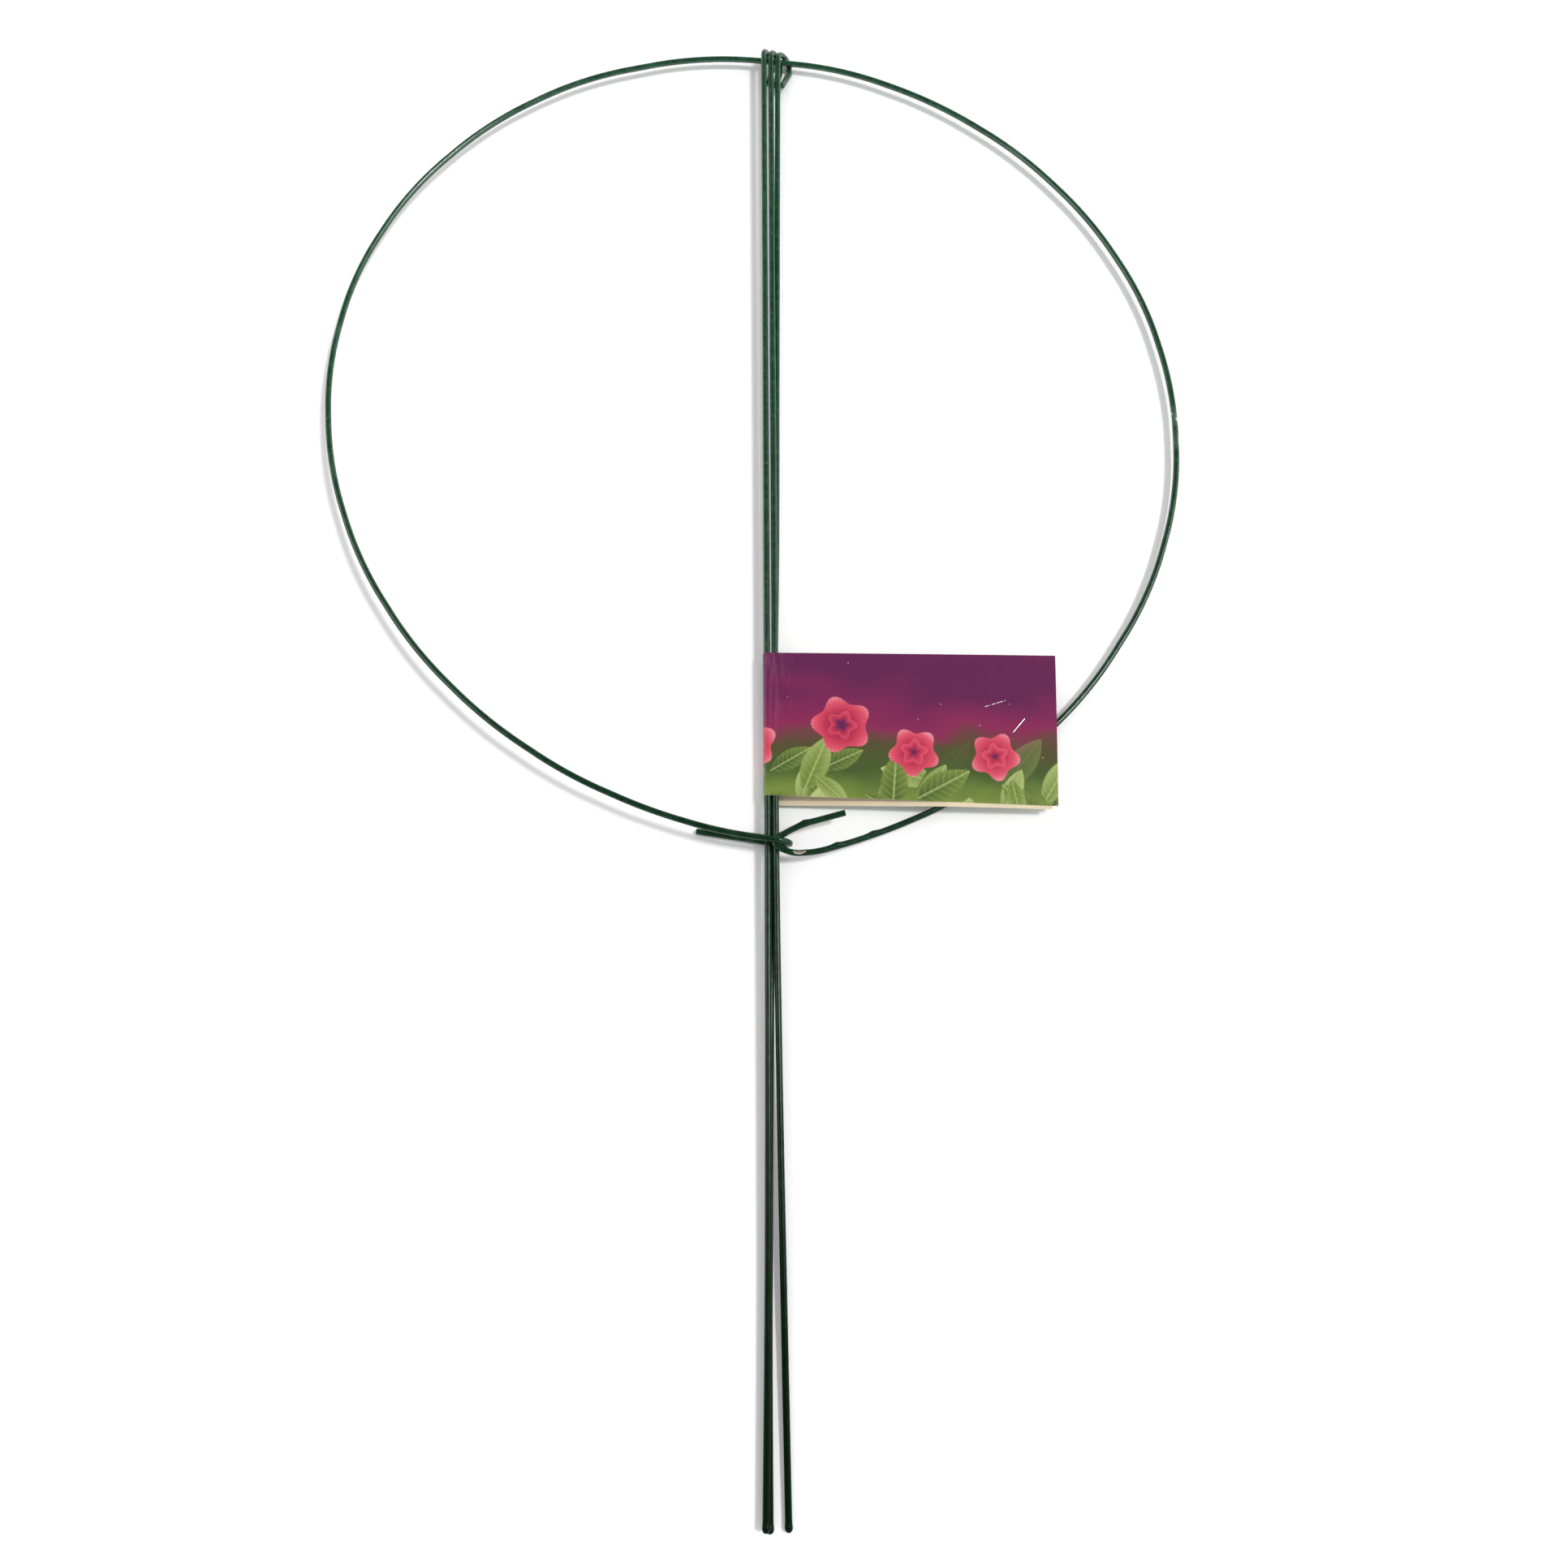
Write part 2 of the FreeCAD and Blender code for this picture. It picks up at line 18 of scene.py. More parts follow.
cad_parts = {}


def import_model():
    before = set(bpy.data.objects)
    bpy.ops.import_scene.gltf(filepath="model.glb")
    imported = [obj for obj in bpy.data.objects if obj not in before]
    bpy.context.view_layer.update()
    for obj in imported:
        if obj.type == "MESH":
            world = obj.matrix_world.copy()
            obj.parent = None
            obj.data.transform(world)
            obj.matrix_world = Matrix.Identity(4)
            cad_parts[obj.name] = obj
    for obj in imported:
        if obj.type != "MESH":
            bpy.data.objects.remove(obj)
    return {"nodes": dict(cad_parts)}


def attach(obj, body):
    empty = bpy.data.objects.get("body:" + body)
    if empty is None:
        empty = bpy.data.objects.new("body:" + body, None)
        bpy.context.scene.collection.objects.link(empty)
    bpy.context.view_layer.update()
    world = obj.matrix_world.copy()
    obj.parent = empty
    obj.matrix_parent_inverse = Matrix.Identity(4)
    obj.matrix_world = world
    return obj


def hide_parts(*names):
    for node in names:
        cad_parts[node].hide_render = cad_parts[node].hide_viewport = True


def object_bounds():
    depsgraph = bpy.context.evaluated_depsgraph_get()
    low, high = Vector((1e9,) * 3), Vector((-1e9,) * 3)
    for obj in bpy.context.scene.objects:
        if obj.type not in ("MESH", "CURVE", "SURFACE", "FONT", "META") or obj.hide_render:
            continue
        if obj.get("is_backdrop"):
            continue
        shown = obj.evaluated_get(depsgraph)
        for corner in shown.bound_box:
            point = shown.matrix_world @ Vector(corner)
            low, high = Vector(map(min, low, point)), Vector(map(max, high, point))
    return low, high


LOG = logging.getLogger("plant_support")
MILLIMETRE = 0.001
Array = np.ndarray

# Millimetres of wire to one unit of its UV map, and the share left free at each rim of the card's map.
MAP_LENGTH = 2000.0
MAP_MARGIN = 0.01

# Edges that turn by more than this are drawn sharp.
SHARP_ANGLE = math.radians(38.0)

# A heading whose level part is shorter than this counts as upright.
STEEP = 0.1

# Numbers of the card's materials on its mesh.
OUTSIDE, INSIDE, EDGE = range(3)


class Body(str, Enum):
    """Bodies of the packed model."""

    RING = "ring"
    LEG_LEFT = "leg_left"
    LEG_MIDDLE = "leg_middle"
    LEG_RIGHT = "leg_right"
    CARD = "card"


class Slot(str, Enum):
    """Material slots of the record."""

    STEEL = "steel"
    COATING = "coating"
    CARD = "card"
    STAPLE = "staple"


class Mask(str, Enum):
    """Point attributes of the meshes that the finishes read, from 0 to 1."""

    WORN = "worn"
    BARE = "bare"
    FOLD = "fold"


class Closing(Enum):
    """How the two open ends of a surface are closed."""

    POLES = "poles"
    FLAT = "flat"


# Shapes.


def unit(vectors: Array) -> Array:
    """Vectors divided by their lengths."""
    return vectors / np.linalg.norm(vectors, axis=-1, keepdims=True)


def eased(values: Array, low: float, high: float) -> Array:
    """Smooth step from 0 at low to 1 at high: 3 t^2 - 2 t^3, where t is the share between them."""
    share = np.clip((values - low) / (high - low), 0.0, 1.0)
    return share * share * (3.0 - 2.0 * share)


def turned(vector: Array, axis: Array, angles: Array) -> Array:
    """One vector turned about a unit axis by each angle, by Rodrigues' formula.

    Args:
        vector: The vector, three numbers.
        axis: Unit axis, three numbers.
        angles: Angles in radians, one column.

    Returns:
        v cos t + (a x v) sin t + a (a . v) (1 - cos t), one row for each angle.
    """
    across = np.cross(axis, vector)
    along = axis * float(axis @ vector)
    return vector * np.cos(angles) + across * np.sin(angles) + along * (1.0 - np.cos(angles))


def corner_turns(corners: Array) -> tuple[Array, Array, Array]:
    """Runs between corners, their headings, and the turn in radians at each inner corner."""
    runs = np.diff(corners, axis=0)
    headings = unit(runs)
    cosines = np.sum(headings[:-1] * headings[1:], axis=1)
    return runs, headings, np.arccos(np.clip(cosines, -1.0, 1.0))


@dataclass(frozen=True)
class Course:
    """Line of a wire as samples, with a side direction that is carried along without twist."""

    places: Array
    directions: Array
    sides: Array

    @property
    def stations(self) -> Array:
        """Length along the line at each sample."""
        steps = np.linalg.norm(np.diff(self.places, axis=0), axis=1)
        return np.concatenate(([0.0], np.cumsum(steps)))


@dataclass(frozen=True)
class BentLine:
    """Straight runs between corners, each corner rounded by an arc that touches both runs."""

    corners: Array
    radii: Array

    def sampled(self, spacings: Array, arc_step: float = math.radians(7.0)) -> Course:
        """Samples the line.

        On the arc of a corner, with centre c, radius r, heading d of the run before it and inward
        direction n, the place after a turn t is c - r (n cos t - d sin t) and the heading is
        d cos t + n sin t. The side direction is turned about the same axis.

        Args:
            spacings: Largest distance between samples on each run and on the arc after it.
            arc_step: Largest turn between samples on an arc, in radians.

        Returns:
            The course of the line.
        """
        _, headings, turns = corner_turns(self.corners)
        reaches = self.radii[1:-1] * np.tan(turns / 2.0)
        upright = np.array([0.0, 0.0, 1.0])
        level = upright - headings[0] * headings[0][2]
        side = unit(level) if np.linalg.norm(level) > STEEP else np.array([1.0, 0.0, 0.0])
        places, directions, sides = [], [], []
        start = self.corners[0]
        for index, heading in enumerate(headings):
            last = index == len(headings) - 1
            end = self.corners[index + 1] - (0.0 if last else heading * reaches[index])
            count = max(2, int(np.linalg.norm(end - start) / spacings[index]) + 2)
            share = np.linspace(0.0, 1.0, count, endpoint=last)[:, None]
            places.append(start + (end - start) * share)
            directions.append(np.repeat(heading[None], count, axis=0))
            sides.append(np.repeat(side[None], count, axis=0))
            if last:
                break
            axis = unit(np.cross(heading, headings[index + 1]))
            inward = np.cross(axis, heading)
            radius, turn = self.radii[index + 1], turns[index]
            steps = max(turn / arc_step, radius * turn / spacings[index])
            angles = np.linspace(0.0, turn, int(steps) + 2, endpoint=False)[:, None]
            centre = end + inward * radius
            places.append(centre - radius * (inward * np.cos(angles) - heading * np.sin(angles)))
            directions.append(heading * np.cos(angles) + inward * np.sin(angles))
            sides.append(turned(side, axis, angles))
            side = turned(side, axis, np.array([[turn]]))[0]
            start = self.corners[index + 1] + headings[index + 1] * reaches[index]
        return Course(np.concatenate(places), np.concatenate(directions), np.concatenate(sides))


def gentle_radii(corners: Array, share: float) -> Array:
    """Radii whose arcs take a share of the shorter run beside each corner.

    Args:
        corners: Corners of the line.
        share: Share of the shorter run that the arc takes.

    Returns:
        share * run / tan(turn / 2) at each inner corner, and 0 at both ends.
    """
    runs, _, turns = corner_turns(corners)
    lengths = np.linalg.norm(runs, axis=1)
    inner = share * np.minimum(lengths[:-1], lengths[1:]) / np.tan(turns / 2.0)
    return np.concatenate(([0.0], inner, [0.0]))


def shortened(corners: Array, at_start: float, at_end: float) -> Array:
    """The same corners with the first and the last run made shorter."""
    trimmed = corners.copy()
    trimmed[0] += unit(corners[1] - corners[0]) * at_start
    trimmed[-1] += unit(corners[-2] - corners[-1]) * at_end
    return trimmed


@dataclass(frozen=True)
class WireEnd:
    """Last stretch of a wire: the distance beyond its course and the radius there, up to the pole."""

    reaches: Array
    radii: Array

    @property
    def length(self) -> float:
        """Distance from the end of the course to the pole."""
        return float(self.reaches[-1])

    @classmethod
    def cut(cls, radius: float, rounding: float, bulge: float = 0.05) -> "WireEnd":
        """A cut end with a rounded rim: a quarter circle of the rounding, then an all but flat face."""
        angles = np.linspace(0.0, math.pi / 2.0, 7)[1:]
        rim_reach = rounding * np.sin(angles)
        rim_radius = radius - rounding * (1.0 - np.cos(angles))
        face = np.array([0.66, 0.33, 0.0])
        crown = rounding + bulge * (1.0 - face ** 2)
        return cls(np.concatenate((rim_reach, crown)), np.concatenate((rim_radius, rim_radius[-1] * face)))

    @classmethod
    def drop(cls, radius: float, drop_radius: float, half_length: float, neck: float) -> "WireEnd":
        """A drop: the radius grows over the neck by a smooth step, then closes as half an ellipse."""
        along = np.linspace(0.0, neck, 8)[1:]
        grown = radius + (drop_radius - radius) * eased(along, 0.0, neck)
        angles = np.linspace(0.0, math.pi / 2.0, 10)[1:]
        reaches = np.concatenate((along, neck + half_length * np.sin(angles)))
        return cls(reaches, np.concatenate((grown, drop_radius * np.cos(angles))))


@dataclass
class Surface:
    """Closed surface on a grid: rows along it, columns round it."""

    grid: Array
    closing: Closing
    places_on_map: Array
    poles: Optional[Array] = None
    masks: dict[Mask, Array] = field(default_factory=dict)
    column_materials: Optional[Array] = None
    end_material: int = 0

    def faces(self) -> tuple[Array, list[tuple[int, ...]], Array]:
        """Quads of the grid, faces that close its ends, and the material of each quad.

        A quad runs (i, j), (i, j+1), (i+1, j+1), (i+1, j), which faces outwards where the columns
        run anticlockwise about the direction of the rows.
        """
        rows, columns = self.grid.shape[:2]
        row = np.arange(rows - 1)[:, None] * columns
        after_row = row + columns
        column = np.arange(columns)[None, :]
        after = (column + 1) % columns
        quads = np.stack((row + column, row + after, after_row + after, after_row + column), axis=-1)
        materials = np.zeros(columns, int) if self.column_materials is None else self.column_materials
        near, far = np.arange(columns), np.arange(columns) + (rows - 1) * columns
        if self.closing is Closing.POLES:
            first, last = rows * columns, rows * columns + 1
            caps = [(first, int(b), int(a)) for a, b in zip(near, np.roll(near, -1))]
            caps += [(last, int(a), int(b)) for a, b in zip(far, np.roll(far, -1))]
        else:
            half = np.arange(columns // 2 - 1)
            strips = np.stack((half, half + 1, columns - 2 - half, columns - 1 - half), axis=-1)
            caps = [tuple(int(v) for v in strip[::-1]) for strip in strips]
            caps += [tuple(int(v) for v in strip + far[0]) for strip in strips]
        return quads.reshape(-1, 4), caps, np.tile(materials, rows - 1)

    def map_places(self, caps: Sequence[tuple[int, ...]]) -> Array:
        """Place on the UV map of each corner of each face, with the seam at the last column."""
        lattice = self.places_on_map
        quads = np.stack((lattice[:-1, :-1], lattice[:-1, 1:], lattice[1:, 1:], lattice[1:, :-1]), axis=2)
        flat = lattice[:, :-1].reshape(-1, 2)
        poles = np.stack((lattice[0].mean(axis=0), lattice[-1].mean(axis=0)))
        vertices = np.concatenate((flat, poles))
        corners = np.concatenate([np.array(cap) for cap in caps])
        return np.concatenate((quads.reshape(-1, 2), vertices[corners]))

    def mesh(self, name: str) -> bpy.types.Mesh:
        """Writes the surface into a mesh, in metres."""
        quads, caps, materials = self.faces()
        vertices = self.grid.reshape(-1, 3)
        if self.poles is not None:
            vertices = np.concatenate((vertices, self.poles))
        made = bpy.data.meshes.new(name)
        made.from_pydata((vertices * MILLIMETRE).tolist(), [], quads.tolist() + caps)
        layer = made.uv_layers.new(name="UVMap")
        layer.data.foreach_set("uv", self.map_places(caps).astype(np.float32).ravel())
        for mask, values in self.masks.items():
            column = values.reshape(-1)
            extra = np.zeros(len(vertices) - len(column))
            attribute = made.attributes.new(mask.value, "FLOAT", "POINT")
            attribute.data.foreach_set("value", np.concatenate((column, extra)).astype(np.float32))
        slots = np.concatenate((materials, np.full(len(caps), self.end_material)))
        made.polygons.foreach_set("material_index", slots.astype(np.int32))
        made.polygons.foreach_set("use_smooth", np.ones(len(made.polygons), bool))
        made.update()
        made.set_sharp_from_angle(angle=SHARP_ANGLE)
        return made


def ripple(stations: Array, angles: Array, seed: float) -> Array:
    """Slow unevenness of a dipped coating, from 0 to 1: a mean of three sines of length and angle."""
    first = np.sin(stations / 9.0 + 1.3 * np.sin(angles + seed) + seed)
    second = np.sin(stations / 23.0 + 2.0 * np.cos(angles - seed) + 2.0 * seed)
    third = np.sin(stations / 4.1 + 3.0 * np.sin(2.0 * angles + seed))
    return 0.5 + (first + second + 0.6 * third) / 5.2


def near_to(points: Array, centre: Array, spread: float) -> Array:
    """Closeness to a place: exp(-(distance / spread)^2)."""
    return np.exp(-np.sum((points - centre) ** 2, axis=-1) / spread ** 2)


def worn_away(points: Array, places: Sequence[tuple]) -> Array:
    """Wear at these points from rubbed places, each with its x, y, z, spread and amount."""
    worn = np.zeros(points.shape[:2])
    for x, y, z, spread, amount in places:
        worn = worn + amount * near_to(points, np.array([x, y, z]), spread)
    return worn


Shaping = Callable[[Array, Array, Array, Array], tuple[Array, dict[Mask, Array]]]


@dataclass
class WireSkin:
    """Round skin carried along a course: place + radius (cos a * side + sin a * back)."""

    course: Course
    radius: float
    around: int
    start: WireEnd
    end: WireEnd

    def surface(self, shaping: Optional[Shaping] = None) -> Surface:
        """Skin of the wire with its two ends.

        Args:
            shaping: Takes the skin's points, the outward directions, the stations and the angles, and
                returns the growth of the radius at each point and the masks there.

        Returns:
            The closed surface.
        """
        course = self.course
        first, last = course.places[0], course.places[-1]
        before = first - course.directions[0] * self.start.reaches[:-1][::-1, None]
        beyond = last + course.directions[-1] * self.end.reaches[:-1, None]
        rows = ((len(before), len(beyond)), (0, 0))
        whole = Course(
            np.concatenate((before, course.places, beyond)), np.pad(course.directions, rows, mode="edge"),
            np.pad(course.sides, rows, mode="edge"),
        )
        even = np.full(len(course.places), self.radius)
        radii = np.concatenate((self.start.radii[:-1][::-1], even, self.end.radii[:-1]))
        angles = np.linspace(0.0, 2.0 * math.pi, self.around, endpoint=False)
        backs = np.cross(whole.directions, whole.sides)
        outward = whole.sides[:, None] * np.cos(angles)[:, None] + backs[:, None] * np.sin(angles)[:, None]
        grid = whole.places[:, None] + outward * radii[:, None, None]
        stations = whole.stations[:, None]
        masks: dict[Mask, Array] = {}
        if shaping is not None:
            growth, masks = shaping(grid, outward, stations, angles[None, :])
            share = np.minimum(radii / self.radius, 1.0)[:, None]
            grid = grid + outward * (growth * share)[..., None]
        shares = np.linspace(0.0, 1.0, self.around + 1)[None, :]
        lattice = np.stack(np.broadcast_arrays(stations / MAP_LENGTH, shares), axis=-1)
        poles = np.stack((
            first - course.directions[0] * self.start.length, last + course.directions[-1] * self.end.length,
        ))
        return Surface(grid, Closing.POLES, lattice, poles, masks)


def placed(name: str, mesh: bpy.types.Mesh, body: Body, materials: Sequence[bpy.types.Material],
           nodes: Sequence[str]) -> bpy.types.Object:
    """Puts a finished mesh into the scene as a piece that rides on a body and stands for CAD nodes.

    Args:
        name: Name of the piece.
        mesh: Its mesh, in the frame of the packed model.
        body: Body that it rides on.
        slot: Slot of the record that it takes its finish from.
        materials: Materials in the order of the mesh's material numbers.
        nodes: CAD nodes that it stands for.

    Returns:
        The piece.
    """
    piece = bpy.data.objects.new(name, mesh)
    for material in materials:
        mesh.materials.append(material)
    bpy.context.scene.collection.objects.link(piece)
    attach(piece, body.value)
    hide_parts(*nodes)
    LOG.info("%s: %d faces on body %s", name, len(mesh.polygons), body.value)
    return piece


# Shader expressions.

Feed = Union[float, tuple, "Reading", bpy.types.NodeSocket]


def math_method(operation: str, text: str, reflected: bool = False) -> Callable[..., "Reading"]:
    """Makes a method that adds a Math node.

    Args:
        operation: Operation of the node.
        text: What the method gives.
        reflected: Whether the other number comes first.

    Returns:
        The method, from a reading and other numbers to a reading.
    """

    def method(reading: "Reading", *others: Feed) -> "Reading":
        """Adds the node on the reading and the others."""
        numbers = (*others, reading) if reflected else (reading, *others)
        made = reading.bench.node("ShaderNodeMath", {"operation": operation}, dict(enumerate(numbers)))
        return Reading(reading.bench, made.outputs[0])

    method.__doc__ = text
    return method


class Reading:
    """A number that varies over a surface. Arithmetic on it adds Math nodes to its tree."""

    __add__ = __radd__ = math_method("ADD", "Sum.")
    __sub__ = math_method("SUBTRACT", "Difference.")
    __rsub__ = math_method("SUBTRACT", "Difference from a number.", reflected=True)
    __mul__ = __rmul__ = math_method("MULTIPLY", "Product.")
    __truediv__ = math_method("DIVIDE", "Quotient.")
    __abs__ = math_method("ABSOLUTE", "Size without its sign.")
    root = math_method("SQRT", "Square root.")
    sine = math_method("SINE", "Sine of an angle in radians.")
    cosine = math_method("COSINE", "Cosine of an angle in radians.")
    bearing = math_method("ARCTAN2", "Angle of the vector of this upward and the other sideways part.")
    at_most = math_method("MINIMUM", "The smaller of two.")
    at_least = math_method("MAXIMUM", "The larger of two.")

    def __init__(self, bench: "Bench", socket: bpy.types.NodeSocket) -> None:
        """Keeps the socket and the bench it stands on."""
        self.bench = bench
        self.socket = socket

    def rising(self, low: float, high: float) -> "Reading":
        """Smooth step from 0 at low to 1 at high."""
        made = self.bench.node(
            "ShaderNodeMapRange", {"interpolation_type": "SMOOTHSTEP"},
            {"Value": self, "From Min": low, "From Max": high},
        )
        return Reading(self.bench, made.outputs[0])

    def falling(self, low: float, high: float) -> "Reading":
        """Smooth step from 1 at low to 0 at high."""
        return 1.0 - self.rising(low, high)


class Bench:
    """Node tree of a material or of the surroundings, on which nodes are made by one method."""

    def __init__(self, holder: Union[bpy.types.Material, bpy.types.World]) -> None:
        """Empties the node tree of the holder."""
        holder.use_nodes = True
        self.holder = holder
        self.tree = holder.node_tree
        self.tree.nodes.clear()

    @classmethod
    def material(cls, name: str) -> "Bench":
        """Bench of a new material of this name."""
        return cls(bpy.data.materials.new(name))

    def node(self, kind: str, settings: Optional[Mapping[str, object]] = None,
             sockets: Optional[Mapping[Union[int, str], Feed]] = None) -> bpy.types.Node:
        """Makes a node.

        Args:
            kind: Type of the node.
            settings: Its settings, such as an operation. The stops of a ramp are pairs of place and colour.
            sockets: Values or links of its sockets, by name or number.

        Returns:
            The node.
        """
        made = self.tree.nodes.new(kind)
        for name, value in (settings or {}).items():
            if name == "stops":
                while len(made.color_ramp.elements) < len(value):
                    made.color_ramp.elements.new(1.0)
                for element, (place, colour) in zip(made.color_ramp.elements, value):
                    element.position = place
                    element.color = (*colour, 1.0)
            else:
                setattr(made, name, value)
        for key, value in (sockets or {}).items():
            if isinstance(value, Reading):
                self.tree.links.new(value.socket, made.inputs[key])
            elif isinstance(value, bpy.types.NodeSocket):
                self.tree.links.new(value, made.inputs[key])
            elif isinstance(value, tuple) and len(value) == 3 and made.inputs[key].type == "RGBA":
                made.inputs[key].default_value = (*value, 1.0)
            else:
                made.inputs[key].default_value = value
        return made

    def place(self) -> bpy.types.NodeSocket:
        """Place on the piece, in metres."""
        return self.node("ShaderNodeTexCoord").outputs["Object"]

    def parts(self, vector: bpy.types.NodeSocket) -> tuple[Reading, ...]:
        """The three numbers of a vector."""
        made = self.node("ShaderNodeSeparateXYZ", None, {0: vector})
        return tuple(Reading(self, part) for part in made.outputs)

    def on_map(self) -> tuple[Reading, ...]:
        """Place on the piece's UV map."""
        return self.parts(self.node("ShaderNodeUVMap", {"uv_map": "UVMap"}).outputs[0])[:2]

    def mask(self, mask: Mask) -> Reading:
        """One of the masks of the mesh."""
        return Reading(self, self.node("ShaderNodeAttribute", {"attribute_name": mask.value}).outputs["Fac"])

    def vector(self, x: Feed, y: Feed, z: Feed) -> bpy.types.NodeSocket:
        """Vector of three readings."""
        return self.node("ShaderNodeCombineXYZ", None, {0: x, 1: y, 2: z}).outputs[0]

    def noise(self, vector: bpy.types.NodeSocket, scale: float, detail: float = 3.0, rough: float = 0.5,
              distortion: float = 0.0) -> Reading:
        """Noise from 0 to 1, of this many waves in a unit of the vector."""
        made = self.node("ShaderNodeTexNoise", None, {
            "Vector": vector, "Scale": scale, "Detail": detail, "Roughness": rough, "Distortion": distortion,
        })
        return Reading(self, made.outputs["Fac"])

    def cells(self, vector: bpy.types.NodeSocket, scale: float) -> tuple[Reading, Reading]:
        """Distance in a field of cells, and a number from 0 to 1 that each cell has for itself."""
        made = self.node("ShaderNodeTexVoronoi", None, {"Vector": vector, "Scale": scale})
        own = self.node("ShaderNodeSeparateColor", None, {0: made.outputs["Color"]})
        return Reading(self, made.outputs["Distance"]), Reading(self, own.outputs[0])

    def spots(self, x: Reading, y: Reading, randomness: float) -> tuple[Reading, ...]:
        """Nearest of a field of spots, one in each unit.

        Args:
            x: Place across, in units.
            y: Place up, in units.
            randomness: How far the spots leave their lattice, from 0 to 1.

        Returns:
            Distance from the spot across and up, and two numbers from 0 to 1 that it has for itself.
        """
        here = self.vector(x, y, 0.0)
        made = self.node("ShaderNodeTexVoronoi", {"voronoi_dimensions": "2D"}, {
            "Vector": here, "Scale": 1.0, "Randomness": randomness,
        })
        ends = {0: here, 1: made.outputs["Position"]}
        away = self.node("ShaderNodeVectorMath", {"operation": "SUBTRACT"}, ends).outputs[0]
        own = self.node("ShaderNodeSeparateColor", None, {0: made.outputs["Color"]})
        return self.parts(away)[:2] + tuple(Reading(self, socket) for socket in own.outputs[:2])

    def blended(self, share: Feed, first: Feed, second: Feed) -> bpy.types.NodeSocket:
        """Colour between two colours."""
        return self.node("ShaderNodeMix", {"data_type": "RGBA"}, {0: share, 6: first, 7: second}).outputs[2]

    def ramp(self, share: Reading, stops: Sequence[tuple[float, tuple]]) -> bpy.types.NodeSocket:
        """Colour from a ramp of stops."""
        return self.node("ShaderNodeValToRGB", {"stops": stops}, {0: share}).outputs[0]

    def relief(self, height: Reading, strength: float, depth: float) -> bpy.types.NodeSocket:
        """Normal from a height of 0 to 1 that is this many metres deep."""
        made = self.node("ShaderNodeBump", None, {"Strength": strength, "Distance": depth, "Height": height})
        return made.outputs[0]

    def shaded(self, sockets: Mapping[str, Feed], others: Optional[Mapping[str, Feed]] = None,
               share: Feed = 0.0) -> bpy.types.Material:
        """Finishes the material with a principled shader, or with two mixed.

        Args:
            sockets: Values or links of the shader's sockets.
            others: Those of a second shader, if there is one.
            share: Share of the second shader.

        Returns:
            The material.
        """
        shader = self.node("ShaderNodeBsdfPrincipled", None, sockets).outputs[0]
        if others is not None:
            second = self.node("ShaderNodeBsdfPrincipled", None, others).outputs[0]
            shader = self.node("ShaderNodeMixShader", None, {0: share, 1: shader, 2: second}).outputs[0]
        self.node("ShaderNodeOutputMaterial", None, {0: shader})
        return self.holder


# Finishes.


@dataclass(frozen=True)
class CoatingFinish:
    """Dipped green coating: half gloss, faintly mottled, with small nubs, flow marks and rubbed places.

    The coating drained towards the tips while it was wet, so it is thicker, darker and duller there.
    """

    deep: tuple = (0.0050, 0.0400, 0.0150)
    middle: tuple = (0.0130, 0.0860, 0.0370)
    # Colour of the painted shade at the tips.
    painted_tip_shade: tuple = (0.0012, 0.0090, 0.0014)
    rubbed: tuple = (0.1150, 0.2050, 0.1500)
    # Pale colour of painted glints on the raised specks and nubs.
    painted_glint: tuple = (0.3400, 0.3900, 0.3300)
    olive: tuple = (0.0300, 0.0480, 0.0150)
    torn: tuple = (0.5600, 0.5200, 0.4300)
    roughness: float = 0.19
    specular: float = 0.60
    tip_specular: float = 0.08
    coat: float = 0.12
    light_end: float = 0.16
    dark_end: float = -0.52

    def material(self) -> bpy.types.Material:
        """Colour from two scales of mottling along and round the wire, relief from fine grain and nubs."""
        bench = Bench.material("coating_finish")
        place = bench.place()
        along, round_share = bench.on_map()
        angle = round_share * (2.0 * math.pi)
        flow = bench.vector(along * 90.0, angle.cosine() * 0.8, angle.sine() * 0.8)
        mottle = bench.noise(place, 260.0, 4.0, 0.55)
        streaks = bench.noise(flow, 1.6, 3.0, 0.6, 0.4)
        grain = bench.noise(place, 2600.0, 2.0)
        distance, own = bench.cells(place, 520.0)
        nub = distance.falling(0.08, 0.30) * own.rising(0.80, 0.84)
        glint_distance, glint_own = bench.cells(place, 830.0)
        glint_speck = glint_distance.falling(0.12, 0.24) * glint_own.rising(0.90, 0.92)
        depth = (mottle * 0.55 + streaks * 0.45).rising(0.34, 0.66)
        colour = bench.blended(depth, self.deep, self.middle)
        colour = bench.blended(streaks.rising(0.62, 0.82) * 0.45, colour, self.olive)
        worn = bench.mask(Mask.WORN)
        scuff = (worn * (0.45 + mottle * 1.1)).at_most(1.0)
        colour = bench.blended(scuff * 0.85, colour, self.rubbed)
        # Painted glints: the raised specks are made pale, and the nubs by a tenth.
        colour = bench.blended(glint_speck * 0.55 + nub * 0.10, colour, self.painted_glint)
        lengthwise = bench.parts(place)[1]
        # Painted shade: the colour darkens towards the tips, the lower the darker; the same share dulls the
        # coating's specular.
        tip_shade_and_dulling = (lengthwise + (mottle - 0.5) * 0.12).falling(self.dark_end, self.light_end)
        colour = bench.blended(tip_shade_and_dulling * 0.96, colour, self.painted_tip_shade)
        bare = bench.mask(Mask.BARE)
        edge = bare.rising(0.10, 0.40)
        colour = bench.blended(edge, colour, self.torn)
        height = grain * 0.22 + mottle * 0.40 + nub * 0.9 + glint_speck * 0.5 + streaks * 0.25
        glossy = {
            "Base Color": colour,
            "Roughness": self.roughness + mottle * 0.12 + scuff * 0.14 + edge * 0.25,
            "Normal": bench.relief(height, 0.5, 0.00010),
            "Specular IOR Level": self.specular,
            "Coat Weight": self.coat - edge * self.coat,
            "Coat Roughness": 0.10,
        }
        dull = {**glossy, "Specular IOR Level": self.tip_specular, "Coat Weight": 0.0}
        return bench.shaded(glossy, dull, tip_shade_and_dulling)


